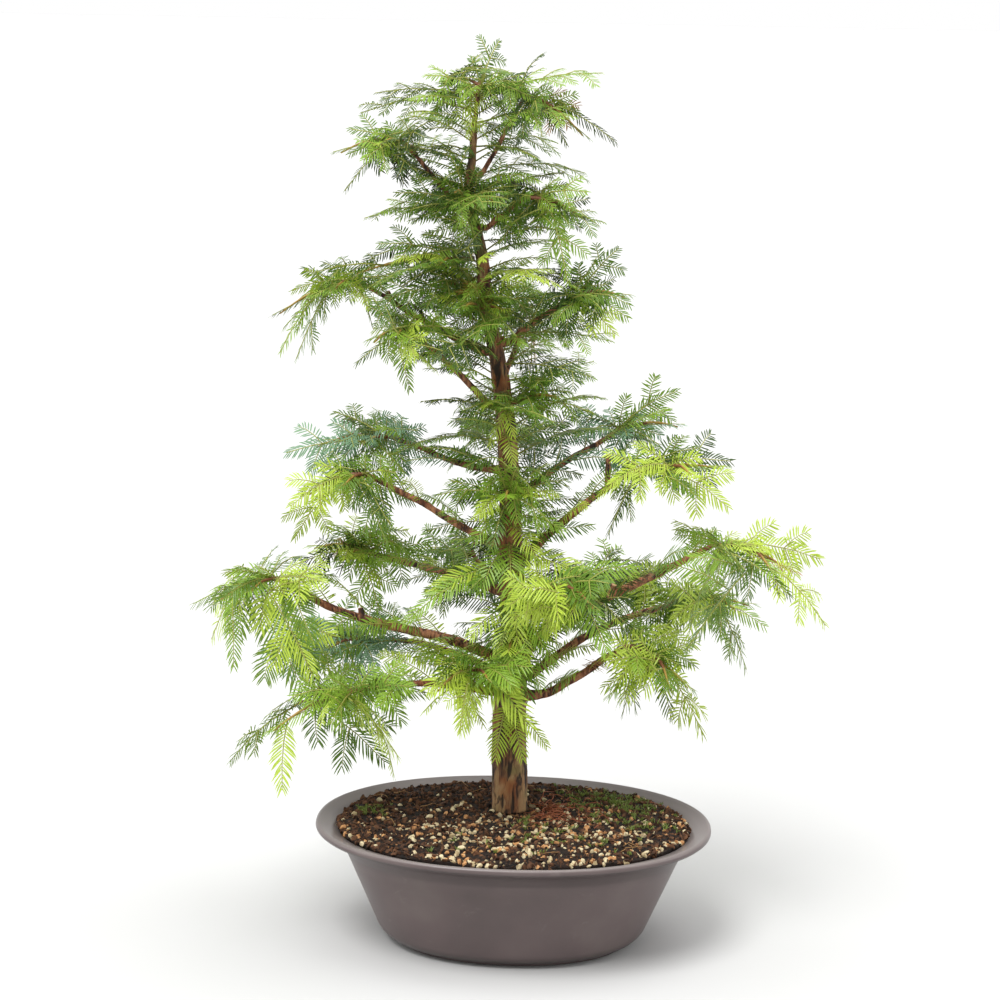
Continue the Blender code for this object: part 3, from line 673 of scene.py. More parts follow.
@dataclass(frozen=True)
class Mass:
    """One mass of sprays and the space that it keeps, measured from its stem's start."""

    name: str
    azimuth: float
    forward: float
    back: float
    side: float
    up: float
    down: float
    bend: float
    sprays: int
    height: float | None = None  # where it leaves the trunk, unless a limb's tip carries it

    def frame(self) -> tuple[Vector, Vector]:
        """Returns its directions outwards and to its side."""
        out = heading(self.azimuth)
        return out, out.cross(-UP)


TRUNK_STEPS = [
    TrunkStep(*row)
    for row in (
        (0.1213, -0.0053, 0.035, 0.0168),
        (0.1540, -0.0062, 0.035, 0.0186),
        (0.2040, -0.0075, 0.035, 0.0180),
        (0.2490, -0.0075, 0.036, 0.0172),
        (0.2920, -0.0028, 0.037, 0.0166),
        (0.3440, -0.0055, 0.036, 0.0146),
        (0.4040, -0.0095, 0.034, 0.0125),
        (0.4720, -0.0120, 0.034, 0.0112),
        (0.5340, -0.0175, 0.036, 0.0100),
        (0.5940, -0.0265, 0.037, 0.0089),
        (0.6440, -0.0380, 0.036, 0.0080),
        (0.7040, -0.0450, 0.034, 0.0066),
        (0.7540, -0.0575, 0.034, 0.0054),
        (0.8040, -0.0545, 0.036, 0.0040),
        (0.8560, -0.0505, 0.035, 0.0022),
    )
]
BOUGHS = [
    Bough(*row)
    for row in (
        ("low_right", 0.246, -14, 0.100, 0.056, 0.10, 0.50, -0.004, 0.0052, 0.0034),
        ("low_right_back", 0.266, 22, 0.150, 0.062, 0.80, 0.10, 0.006, 0.0050, 0.0030),
        ("low_back_right", 0.282, 62, 0.140, 0.045, 0.40, 0.25, -0.005, 0.0046, 0.0028),
        ("low_back", 0.306, 108, 0.135, 0.045, 0.50, 0.20, 0.006, 0.0046, 0.0028),
        ("low_back_left", 0.266, 148, 0.165, 0.008, 0.25, -0.15, 0.005, 0.0042, 0.0025),
        ("low_left_front", 0.250, 205, 0.135, 0.014, 0.35, -0.08, -0.006, 0.0044, 0.0026),
        ("low_left", 0.286, 188, 0.215, 0.075, 0.42, 0.70, 0.007, 0.0062, 0.0034),
        ("low_front_left", 0.266, 246, 0.052, 0.020, 0.45, 0.30, 0.002, 0.0036, 0.0026),
        ("low_front_right", 0.339, 302, 0.062, 0.034, 0.70, 0.45, -0.002, 0.0038, 0.0026),
        ("mid_right", 0.332, -8, 0.178, 0.076, 0.15, 0.60, 0.005, 0.0060, 0.0034),
        ("mid_left_back", 0.354, 163, 0.130, 0.024, 0.42, 0.15, -0.005, 0.0048, 0.0028),
        ("upper_right", 0.396, -5, 0.092, 0.076, 1.10, 0.70, -0.003, 0.0052, 0.0032),
        ("upper_back_right", 0.456, 34, 0.105, 0.050, 0.75, 0.35, 0.003, 0.0042, 0.0026),
        ("upper_back", 0.434, 95, 0.125, 0.056, 0.60, 0.30, -0.004, 0.0042, 0.0026),
        ("upper_left", 0.406, 192, 0.125, 0.066, 0.50, 0.55, 0.004, 0.0044, 0.0027),
        ("upper_left_back", 0.480, 164, 0.105, 0.022, 0.05, 0.25, -0.004, 0.0040, 0.0025),
        ("high_left_front", 0.547, 198, 0.082, 0.070, 0.95, 0.60, 0.003, 0.0038, 0.0024),
        ("high_left", 0.601, 173, 0.125, 0.062, 0.45, 0.65, 0.004, 0.0040, 0.0022),
        ("high_right", 0.611, -3, 0.058, 0.040, 0.80, 0.60, -0.002, 0.0036, 0.0024),
        ("high_back", 0.570, 82, 0.092, 0.046, 0.70, 0.35, 0.002, 0.0034, 0.0022),
        ("top_right", 0.726, -24, 0.040, 0.026, 0.75, 0.55, 0.001, 0.0030, 0.0020),
        ("top_right_back", 0.778, 4, 0.044, 0.070, 1.30, 1.50, -0.001, 0.0026, 0.0018),
        ("top_left", 0.746, 192, 0.055, 0.056, 1.00, 1.00, 0.002, 0.0030, 0.0019),
    )
]
MASSES = [
    Mass(*row)
    for row in (
        ("low_right", -10, 0.110, 0.015, 0.070, 0.016, 0.100, -0.034, 7),
        ("low_right_back", 10, 0.145, 0.030, 0.078, 0.016, 0.100, 0.000, 7),
        ("low_back_right", 62, 0.120, 0.060, 0.085, 0.030, 0.065, 0.004, 7),
        ("low_back", 108, 0.120, 0.060, 0.085, 0.030, 0.065, 0.004, 7),
        ("low_back_left", 166, 0.135, 0.055, 0.080, 0.030, 0.070, -0.016, 7),
        ("low_left_front", 196, 0.160, 0.060, 0.085, 0.024, 0.105, -0.040, 8),
        ("low_left", 184, 0.110, 0.080, 0.085, 0.026, 0.140, -0.016, 8),
        ("low_front_left", 232, 0.105, 0.000, 0.080, 0.030, 0.070, -0.010, 5),
        ("low_front_right", 312, 0.105, 0.000, 0.075, 0.026, 0.060, -0.010, 5),
        ("mid_right", -5, 0.140, 0.060, 0.085, 0.016, 0.100, -0.018, 8),
        ("mid_left_back", 172, 0.120, 0.060, 0.075, 0.036, 0.060, 0.004, 7),
        ("upper_right", -2, 0.168, 0.020, 0.078, 0.030, 0.050, 0.018, 7),
        ("upper_back_right", 14, 0.120, 0.045, 0.075, 0.044, 0.040, 0.010, 5),
        ("upper_back", 95, 0.110, 0.050, 0.090, 0.040, 0.055, 0.010, 5),
        ("upper_left", 186, 0.110, 0.045, 0.075, 0.026, 0.075, -0.016, 7),
        ("upper_left_back", 174, 0.145, 0.030, 0.075, 0.036, 0.050, -0.010, 7),
        ("high_left_front", 204, 0.070, 0.040, 0.070, 0.034, 0.060, -0.004, 6),
        ("high_left", 184, 0.140, 0.035, 0.068, 0.018, 0.068, -0.030, 6),
        ("high_right", -2, 0.100, 0.030, 0.070, 0.060, 0.034, 0.008, 6),
        ("high_back", 76, 0.095, 0.040, 0.080, 0.044, 0.050, 0.010, 5),
        ("top_right", -12, 0.110, 0.020, 0.065, 0.030, 0.070, -0.014, 6),
        ("top_right_back", 4, 0.100, 0.020, 0.060, 0.016, 0.060, -0.030, 6),
        ("top_left", 186, 0.110, 0.020, 0.065, 0.028, 0.055, -0.004, 6),
        ("front", 268, 0.105, 0.000, 0.060, 0.026, 0.055, 0.000, 4, 0.309),
        ("upper_front", 270, 0.115, 0.000, 0.075, 0.044, 0.050, 0.010, 5, 0.456),
        ("high_front_right", -42, 0.110, 0.000, 0.068, 0.040, 0.040, 0.010, 5, 0.552),
        ("high_front", 256, 0.110, 0.000, 0.066, 0.036, 0.050, 0.008, 5, 0.644),
        ("high_back_left", 128, 0.135, 0.000, 0.080, 0.038, 0.050, 0.012, 5, 0.659),
        ("top_left_low", 186, 0.190, 0.000, 0.068, 0.030, 0.045, -0.016, 7, 0.694),
        ("top_front", 262, 0.105, 0.000, 0.070, 0.050, 0.045, 0.016, 5, 0.749),
        ("top_back", 100, 0.120, 0.000, 0.075, 0.050, 0.045, 0.016, 5, 0.739),
        ("leader", 80, 0.040, 0.040, 0.050, 0.030, 0.045, 0.018, 5),
    )
]
TRUNK_RINGS = 20
TIER_MASSES = {
    Tier.LOW_RIGHT: ("low_right", "low_right_back", "low_back_right", "low_front_right"),
    Tier.LOW_LEFT: ("low_left", "low_left_front", "low_back_left", "low_front_left"),
    Tier.MIDDLE: ("low_back", "mid_right", "mid_left_back", "front"),
    Tier.UPPER_RIGHT: ("upper_right", "upper_back_right", "upper_front", "high_front_right"),
    Tier.UPPER_LEFT: ("upper_left", "upper_left_back", "upper_back", "high_left_front"),
    Tier.HIGH: ("high_left", "high_right", "high_back", "high_front", "high_back_left"),
    Tier.TOP: ("top_right", "top_right_back", "top_left", "top_left_low", "top_front", "top_back", "leader"),
}
TIERS = {name: tier for tier, names in TIER_MASSES.items() for name in names}
# How long needles are in each part of the crown: they get shorter towards the top.
TIER_NEEDLES = dict(zip(Tier, (0.0185, 0.0185, 0.0165, 0.0150, 0.0150, 0.0140, 0.0125)))
TINT_MASSES = {
    Tint.SUNLIT: "front low_front_left low_left_front low_right low_front_right mid_right upper_front "
    "low_left low_right_back upper_right",
    Tint.BLUISH: "low_back_left upper_left_back upper_back_right",
    Tint.SHADED: "low_back low_back_right upper_back high_back top_back top_front top_left top_right "
    "high_right top_left_low top_right_back leader",
}
MASS_TINTS = defaultdict(
    lambda: Tint.COMMON, {name: tint for tint, names in TINT_MASSES.items() for name in names.split()}
)
# How often each colour of Green is dealt out.
TINT_SHARES = {
    Tint.SUNLIT: (0.38, 0.38, 0.20, 0.03, 0.00, 0.01),
    Tint.COMMON: (0.17, 0.34, 0.33, 0.14, 0.00, 0.02),
    Tint.SHADED: (0.06, 0.22, 0.38, 0.33, 0.00, 0.01),
    Tint.BLUISH: (0.00, 0.18, 0.16, 0.04, 0.62, 0.00),
}


def lists() -> defaultdict:
    """Returns a mapping in which every key starts with an empty list."""
    return defaultdict(list)


@dataclass(frozen=True)
class TrunkLine:
    """The trunk's centre line and radius, smooth through its steps."""

    tree: BVHTree  # the trunk's solid

    RAYS = 12
    FAR = 0.1

    @staticmethod
    def at(height: float) -> tuple[Vector, float]:
        """Returns the trunk's centre and radius at a height."""
        steps = TRUNK_STEPS
        k = max(i for i in range(len(steps) - 1) if steps[i].height <= height or i == 0)
        around = steps[max(k - 1, 0)], steps[k], steps[k + 1], steps[min(k + 2, len(steps) - 1)]
        before, a, b, after = (step.height for step in around)
        span = b - a
        found = []
        for name in ("side", "depth", "radius"):
            p, q, r, s = (getattr(step, name) for step in around)
            slopes = (r - p) / (b - before) * span, (s - q) / (after - a) * span
            found.append(hermite(q, r, *slopes, (height - a) / span))
        return Vector((found[0], found[1], height)), found[2]

    def top(self) -> tuple[Vector, Vector]:
        """Returns the trunk's end and the way it points there."""
        foot, top = TRUNK_STEPS[0].height, TRUNK_STEPS[-1].height
        end, _ = self.at(top)
        below, _ = self.at(top - (top - foot) / TRUNK_RINGS)
        return end, (end - below).normalized()

    def surface(self, height: float, azimuth: float, radius: float) -> Vector:
        """Finds where a limb that leaves level clears the trunk.

        Args:
            height: How high it leaves.
            azimuth: The way it goes, in degrees.
            radius: The limb's radius.

        Returns:
            The start of the limb's centre line.
        """
        out = heading(azimuth)
        across = out.cross(UP)
        centre, _ = self.at(height)
        nearest = self.FAR
        for k in range(self.RAYS + 1):
            angle = 2 * math.pi * k / self.RAYS
            reach = 0.0 if k == self.RAYS else radius
            offset = reach * (math.cos(angle) * across + math.sin(angle) * UP)
            distance = self.tree.ray_cast(centre + out * self.FAR + offset, -out)[3]
            if distance is not None:
                nearest = min(nearest, distance)
        return centre + out * (self.FAR - nearest + GAP)


@dataclass(frozen=True)
class BoughRule:
    """How a bough runs from the trunk to its tip."""

    steps: int = 5
    kink: float = 0.0014
    collar: float = 0.005
    swell: float = 1.25

    def line(self, number: int, bough: Bough, trunk: TrunkLine) -> list[Vector]:
        """Works out the bough's centre line.

        Args:
            number: Its place in the table, which seeds its wander.
            bough: Its row.
            trunk: The line that it leaves.

        Returns:
            Points from the trunk's surface to its tip.
        """
        rng = random.Random(SEED * 100 + number)
        start = trunk.surface(bough.height, bough.azimuth, bough.root * self.swell)
        out = heading(bough.azimuth)
        points = [start, start + out * self.collar]
        run = bough.reach - self.collar
        for k in range(1, self.steps + 1):
            t = k / self.steps
            rise = hermite(0.0, bough.rise, bough.slope_in * run, bough.slope_out * run, t)
            wander = 0.0 if k == self.steps else self.kink
            aside = bough.sway * math.sin(math.pi * t) + rng.uniform(-wander, wander)
            upward = rise + rng.uniform(-wander, wander)
            points.append(start + out * (self.collar + run * t) + out.cross(UP) * aside + UP * upward)
        return points


@dataclass(frozen=True)
class Spray:
    """One spray of the crown: an arched rib, rolled about itself, with side shoots in pairs."""

    root: Vector
    tip: Vector
    arch: float
    half_width: float
    roll: float

    STALK_RADIUS, STALK_SHARE, STALK_FACES = 0.0013, 0.12, 5
    THICKNESS = 0.0017
    TEETH = 3
    NOTCH_SHARE, NOTCH_LEAD = 0.30, 0.20
    TINE_LEAD, LAST_TINE_LEAD, TINE_DROOP = 0.95, 0.75, 0.18

    @property
    def middle(self) -> Vector:
        """The rib's control point."""
        return (self.root + self.tip) / 2 + UP * self.arch

    def point(self, t: float, aside: float, above: float, swell: float = 0.0) -> Vector:
        """Finds a place beside and above the rib.

        Args:
            t: How far along the rib, from 0 to 1.
            aside: How far to its right.
            above: How far above it.
            swell: How much longer the rib is made.

        Returns:
            The place.
        """
        middle, way = self.middle, self.tip - self.root
        end = self.tip + way.normalized() * swell
        level = level_across(way)
        point = self.root * (1 - t) ** 2 + middle * 2 * t * (1 - t) + end * t**2
        ahead = ((middle - self.root) * (1 - t) + (end - middle) * t).normalized()
        side = Quaternion(ahead, self.roll) @ (level - ahead * level.dot(ahead)).normalized()
        return point + side * aside + side.cross(ahead) * above

    def tooth_place(self, k: float) -> float:
        """Returns how far along the rib the k-th pair of side shoots starts."""
        return self.STALK_SHARE + (1 - self.STALK_SHARE) * k / self.TEETH

    def reach(self, k: float) -> float:
        """Returns how far the k-th pair of side shoots reaches."""
        return self.half_width * math.sin(math.pi * (0.36 + 0.48 * k / self.TEETH))

    def blade(self, swell: float = 0.0) -> Rows:
        """Makes the spray's solid, by which its room is tested.

        Args:
            swell: How much bigger it is made all round.

        Returns:
            Corners and faces, the stalk's first.
        """
        corners, faces = [], []

        def add(t: float, aside: float, above: float) -> int:
            """Adds a corner and returns its number."""
            corners.append(self.point(t, aside, above, swell))
            return len(corners) - 1

        thick = self.STALK_RADIUS + swell
        narrow = thick * math.sin(math.radians(60))
        stalk = [
            [add(t, 0, thick), add(t, narrow, -thick / 2), add(t, -narrow, -thick / 2)]
            for t in (0.0, self.STALK_SHARE)
        ]
        faces.append((stalk[0][0], stalk[0][2], stalk[0][1]))
        for k, after in ((0, 1), (1, 2), (2, 0)):
            faces.append((stalk[0][k], stalk[0][after], stalk[1][after], stalk[1][k]))
        apex = add(1.0, 0, 0)
        tops, bottoms = [stalk[1][0]], [None]
        notches = {1: [stalk[1][1]], -1: [stalk[1][2]]}
        for k in range(1, self.TEETH):
            half = self.THICKNESS / 2 * (1 - 0.3 * k / self.TEETH) + swell
            tops.append(add(self.tooth_place(k), 0, half))
            bottoms.append(add(self.tooth_place(k), 0, -half))
            for hand in (1, -1):
                reach = self.reach(k) * self.NOTCH_SHARE + swell
                notches[hand].append(add(self.tooth_place(k + self.NOTCH_LEAD), hand * reach, 0))
        tops.append(apex)
        bottoms.append(apex)
        faces.append((notches[1][0], notches[-1][0], bottoms[1]))
        for hand in (1, -1):
            notches[hand].append(apex)
            for k in range(self.TEETH):
                reach = self.reach(k) + swell
                lead = self.TINE_LEAD if k < self.TEETH - 1 else self.LAST_TINE_LEAD
                tine = add(self.tooth_place(k + lead), hand * reach, -reach * self.TINE_DROOP)
                near, far = notches[hand][k], notches[hand][k + 1]
                for ridge, turned in ((tops, hand < 0), (bottoms, hand > 0)):
                    fan = [(ridge[k + 1], tine, far)] if far != apex else []
                    if ridge[k] is None:
                        fan.append((near, tine, ridge[k + 1]))
                    else:
                        fan += [(ridge[k], near, tine), (ridge[k], tine, ridge[k + 1])]
                    faces += [f[::-1] if turned else f for f in fan]
        return corners, faces


@dataclass
class Crown:
    """The masses of the crown, grown again by the rule of the solids."""

    trunk: TrunkLine
    limbs: list[BVHTree]
    tips: dict[str, tuple[Vector, Vector]]
    lines: defaultdict[str, list[list[Vector]]] = field(default_factory=lists)
    radii: defaultdict[str, list[list[float]]] = field(default_factory=lists)
    sprays: defaultdict[str, list[Spray]] = field(default_factory=lists)
    trees: defaultdict[str, list[BVHTree]] = field(default_factory=lists)

    STEM_RADIUS, STEM_TIP_RADIUS, STEM_STEPS = 0.0026, 0.0014, 4
    STEM_SHARE, STEM_LEAD, STEM_LIFT = 0.62, 0.012, 0.10
    TWIG_RADIUS, TWIG_TIP_RADIUS, TWIG_STEPS = 0.0021, 0.0014, 2
    TWIGS = ((0.30, 1), (0.62, -1))  # the share of the stem, and the hand
    TWIG_SHARE, TWIG_LEAD, TWIG_LIFT, TWIG_DROOP = 0.52, 0.55, 0.10, 0.12
    FULL_MASS = 7
    GOLDEN_ANGLE = math.pi * (3 - math.sqrt(5))
    AIM_TURN, AIM_TILT = 0.35, 0.12
    LONGEST, SHORTEST, NEAREST, LIKELY, STRAY = 0.150, 0.060, 0.042, 0.085, 0.060
    SLIMNESS, HALF_WIDTH_MOST, ARCH = 0.34, 0.036, 0.16
    ANGLE = math.radians(55)
    ROLL_LEAST, ROLL_MOST = math.radians(35), math.radians(75)
    CLEARANCE, TRIES, ROOT_PLACES = 0.0006, 8, 10

    def stem_line(self, mass: Mass, start: Vector, ahead: Vector) -> list[Vector]:
        """Works out a stem.

        Args:
            mass: The mass that it carries.
            start: Where it starts.
            ahead: The way of the limb that carries it, which it keeps at first.

        Returns:
            Its points.
        """
        reach = mass.forward * self.STEM_SHARE
        end = start + mass.frame()[0] * reach + UP * mass.bend
        first = start + ahead * min(self.STEM_LEAD, reach / 3)
        points = [start, first]
        for t in (k / (self.STEM_STEPS - 1) for k in range(1, self.STEM_STEPS)):
            points.append(first.lerp(end, t) + UP * mass.side * self.STEM_LIFT * math.sin(math.pi * t))
        return points

    def twig_line(self, mass: Mass, stem: Sequence[Vector], place: float, hand: int) -> list[Vector]:
        """Works out a twig.

        Args:
            mass: The mass.
            stem: Its stem.
            place: The share of the stem at which the twig leaves.
            hand: 1 to the mass's side, -1 away from it.

        Returns:
            Its points.
        """
        root, ahead = point_along(stem, place)
        way = (mass.frame()[1] * hand + ahead * self.TWIG_LEAD).normalized()
        length = mass.side * self.TWIG_SHARE
        points = [root]
        for t in (k / self.TWIG_STEPS for k in range(1, self.TWIG_STEPS + 1)):
            rise = length * (self.TWIG_LIFT * math.sin(math.pi * t) - self.TWIG_DROOP * t)
            points.append(root + way * length * t + UP * rise)
        return points

    @staticmethod
    def skin(points: Sequence[Vector], radii: Sequence[float]) -> Rows:
        """Returns a three-sided skin round a line of points, with one edge on top."""
        rings = []
        for k, (point, radius) in enumerate(zip(points, radii)):
            ahead = (points[min(k + 1, len(points) - 1)] - points[max(k - 1, 0)]).normalized()
            side = level_across(ahead)
            angles = [math.pi / 2 - 2 * math.pi * corner / 3 for corner in range(3)]
            top = side.cross(ahead)
            rings.append([point + radius * (math.cos(a) * side + math.sin(a) * top) for a in angles])
        return loft(rings)

    def aim(self, mass: Mass, k: int, count: int, rng: random.Random) -> Vector:
        """Picks the k-th of some evenly spread points on the skin of a mass's space.

        Args:
            mass: The mass.
            k: Which point.
            count: How many there are.
            rng: Gives how far it strays.

        Returns:
            The point.
        """
        out, side = mass.frame()
        z = 1 - 2 * (k + 0.5) / count
        ring = math.sqrt(1 - z * z)
        turn = k * self.GOLDEN_ANGLE + rng.uniform(-self.AIM_TURN, self.AIM_TURN)
        z = max(-1.0, min(1.0, z + rng.uniform(-self.AIM_TILT, self.AIM_TILT)))
        along = ring * math.cos(turn)
        along *= mass.forward if along > 0 else mass.back
        share = max(0.0, along / mass.forward)
        upward = z * (mass.up if z > 0 else mass.down) + mass.bend * share * (1.6 - 0.6 * share)
        aside = ring * math.sin(turn) * mass.side
        return self.lines[mass.name][0][0] + out * along + side * aside + UP * upward

    def best_root(
        self, lines: Sequence[Sequence[Vector]], target: Vector, taken: set, places: int, likely: float
    ) -> tuple[int, int, Vector] | None:
        """Finds the free point from which a spray grows most naturally to a target.

        Args:
            lines: The stem and twigs.
            target: What it grows to.
            taken: The line and place of each spray there is.
            places: Into how many steps a line is divided.
            likely: The best length.

        Returns:
            The line's number, its step and the point, or None.
        """
        best, least = None, 1e9
        for number, line in enumerate(lines):
            for k in range(1, places):
                point, ahead = point_along(line, k / places)
                way = target - point
                if (number, k) in taken or way.length < likely * self.NEAREST / self.LIKELY:
                    continue
                cost = abs(way.length - likely) + self.STRAY * (ahead.angle(way) - self.ANGLE) ** 2
                if cost < least:
                    best, least = (number, k, point), cost
        return best

    def obstacles(self, name: str) -> list[BVHTree]:
        """Returns the shapes that a mass keeps clear of: the limbs and every other mass."""
        return self.limbs + [tree for other, grown in self.trees.items() if other != name for tree in grown]

    @staticmethod
    def touches(rows: Rows, trees: Sequence[BVHTree]) -> bool:
        """Returns whether a shape meets any of the trees."""
        candidate = BVHTree.FromPolygons(*rows)
        return any(candidate.overlap(tree) for tree in trees)

    def grow_stem(self, mass: Mass) -> None:
        """Grows a mass's stem from the tip of its bough, from the trunk's top or from its side."""
        thick = self.STEM_RADIUS
        if mass.height is not None:
            start, ahead = self.trunk.surface(mass.height, mass.azimuth, thick), heading(mass.azimuth)
        else:
            end, ahead = self.tips[mass.name] if mass.name in self.tips else self.trunk.top()
            start = end + ahead * GAP
        stem = self.stem_line(mass, start, ahead)
        radii = tapered(thick, self.STEM_TIP_RADIUS, self.STEM_STEPS)
        if mass.name in self.tips:
            radii[0] = radii[1] = min(thick, next(b.tip for b in BOUGHS if b.name == mass.name))
        elif mass.height is None:
            radii[0] = TRUNK_STEPS[-1].radius
        self.add_line(mass.name, stem, radii)

    def add_line(self, name: str, line: list[Vector], radii: list[float]) -> None:
        """Keeps a stem or twig of a mass."""
        self.trees[name].append(BVHTree.FromPolygons(*self.skin(line, radii)))
        self.lines[name].append(line)
        self.radii[name].append(radii)

    def grow(self) -> None:
        """Grows every mass's stem, twigs and sprays, each clear of everything else."""
        for mass in MASSES:
            self.grow_stem(mass)
        for mass in MASSES:
            for place, hand in self.TWIGS if mass.sprays >= self.FULL_MASS else self.TWIGS[:1]:
                line = self.twig_line(mass, self.lines[mass.name][0], place, hand)
                radii = tapered(self.TWIG_RADIUS, self.TWIG_TIP_RADIUS, self.TWIG_STEPS)
                swollen = self.skin(line, [r + 2 * self.CLEARANCE for r in radii])
                if not self.touches(swollen, self.obstacles(mass.name)):
                    self.add_line(mass.name, line, radii)
        own, taken = defaultdict(list), defaultdict(set)
        generators = {mass.name: random.Random(SEED * 1000 + k) for k, mass in enumerate(MASSES)}
        for k in range(max(mass.sprays for mass in MASSES)):
            for mass in MASSES:
                if k < mass.sprays:
                    self.grow_spray(mass, k, generators[mass.name], taken[mass.name], own[mass.name])

    def grow_spray(self, mass: Mass, k: int, rng: random.Random, taken: set, own: list[BVHTree]) -> None:
        """Grows one spray towards the k-th point of a mass's space, if there is room.

        Args:
            mass: The mass.
            k: Which point.
            rng: The mass's random numbers.
            taken: The roots in use.
            own: The mass's sprays so far without their stalks, which are free to meet their own mass.
        """
        obstacles = self.obstacles(mass.name)
        for _ in range(self.TRIES):
            target = self.aim(mass, k, mass.sprays, rng)
            found = self.best_root(self.lines[mass.name], target, taken, self.ROOT_PLACES, self.LIKELY)
            if found is None:
                continue
            way = target - found[2]
            length = max(self.SHORTEST, min(self.LONGEST, way.length))
            tip = found[2] + way.normalized() * length
            half_width = min(self.HALF_WIDTH_MOST, length * self.SLIMNESS) * rng.uniform(0.9, 1.1)
            arch = length * self.ARCH * rng.uniform(0.6, 1.3)
            roll = rng.choice((-1, 1)) * rng.uniform(self.ROLL_LEAST, self.ROLL_MOST)
            spray = Spray(found[2], tip, arch, half_width, roll)
            corners, faces = spray.blade(self.CLEARANCE)
            blade = corners, faces[spray.STALK_FACES :]
            if self.touches((corners, faces), obstacles) or self.touches(blade, own):
                continue
            taken.add(found[:2])
            self.sprays[mass.name].append(spray)
            corners, faces = spray.blade()
            self.trees[mass.name].append(BVHTree.FromPolygons(corners, faces))
            own.append(BVHTree.FromPolygons(corners, faces[spray.STALK_FACES :]))
            return


# Needled shoots


# A needle's corners: its base, three round its heel, three round its shoulder, its tip.
NEEDLE_FACES = np.array(
    [
        face
        for a, b in ((1, 2), (2, 3), (3, 1))
        for face in ((a + 3, b + 3, 7), (a, b, b + 3), (a, b + 3, a + 3), (b, a, 0))
    ]
)


@dataclass(frozen=True)
class Feather:
    """One needled shoot: a curved rib with two ranks of needles."""

    root: Vector
    middle: Vector
    tip: Vector
    across: Vector
    green: Green
    needle: float
    bare: float = 0.06
    radius: float = 0.0009

    PITCH, PITCH_SHARE = 0.0019, 0.082  # between pairs of needles: at least, and more by their length
    PAIRS_LEAST = 4
    HALF_WIDTH, USUAL_NEEDLE = 0.00088, 0.016  # half the width of a needle of the usual length
    RIDGE = 0.35  # height of a needle's ridge over its half width
    HEEL, SHOULDER = (1, 0.15, 0.85), (4, 0.68, 1.0)  # first corner, place and share of the half width
    FORWARD_BOW, DROOP = 0.12, 0.22
    RIB_STEPS = 4

    def rib(self, places: np.ndarray) -> Arrays:
        """Returns the points and the directions of the rib at some places from 0 to 1."""
        root, middle, tip = (np.array(corner) for corner in (self.root, self.middle, self.tip))
        t = places[:, None]
        points = root * (1 - t) ** 2 + middle * 2 * t * (1 - t) + tip * t**2
        return points, unit((middle - root) * (1 - t) + (tip - middle) * t)

    def needles(self, rng: np.random.Generator) -> Arrays:
        """Makes its needles.

        Args:
            rng: Gives each needle's own length, angle and place.

        Returns:
            Corners and triangles.
        """
        length = (self.tip - self.root).length * (1 - self.bare)
        pairs = max(self.PAIRS_LEAST, round(length / (self.PITCH + self.PITCH_SHARE * self.needle)))
        count = 2 * pairs
        share = np.repeat((np.arange(pairs) + 0.5) / pairs, 2)
        hand = np.tile((1.0, -1.0), pairs)
        share = np.clip(share + rng.uniform(-0.25, 0.25, count) / pairs, 0, 1)
        points, ahead = self.rib(self.bare + (1 - self.bare) * share)
        side = unit(np.array(self.across) - ahead * (ahead @ np.array(self.across))[:, None])
        normal = np.cross(side, ahead)
        # Needles stand out from the rib at its root, lean forward at its tip, and are longest between.
        lean = np.radians(np.interp(share, (0, 0.5, 1), (70, 60, 30)) + rng.uniform(-6, 6, count))
        long = self.needle * np.interp(share, (0, 0.12, 0.4, 0.8, 1), (0.55, 0.85, 1.0, 0.78, 0.45))
        long = (long * rng.uniform(0.9, 1.08, count))[:, None]
        lift = rng.uniform(-0.38, 0.14, count)[:, None]
        way = unit(ahead * np.cos(lean)[:, None] + side * (hand * np.sin(lean))[:, None] + normal * lift)
        upward = unit(normal - way * np.sum(normal * way, 1)[:, None])
        wide = np.cross(upward, way)
        half = self.HALF_WIDTH * np.sqrt(long / self.USUAL_NEEDLE)
        bow = ahead * self.FORWARD_BOW - np.array((0.0, 0.0, self.DROOP))
        corners = np.empty((count, 8, 3))
        corners[:, 0] = points
        corners[:, 7] = points + (way + bow) * long
        for first, u, width in (self.HEEL, self.SHOULDER):
            centre = points + (way * u + bow * u * u) * long
            corners[:, first] = centre + wide * half * width
            corners[:, first + 1] = centre + upward * half * width * self.RIDGE
            corners[:, first + 2] = centre - wide * half * width
        faces = NEEDLE_FACES[None] + 8 * np.arange(count)[:, None, None]
        return corners.reshape(-1, 3), faces.reshape(-1, 3)

    def shoot(self) -> Arrays:
        """Returns its rib as a three-sided tube: corners and triangles."""
        points, _ = self.rib(np.linspace(0, 1, self.RIB_STEPS))
        return tube(points, np.linspace(self.radius, self.radius * 0.45, self.RIB_STEPS), 3)


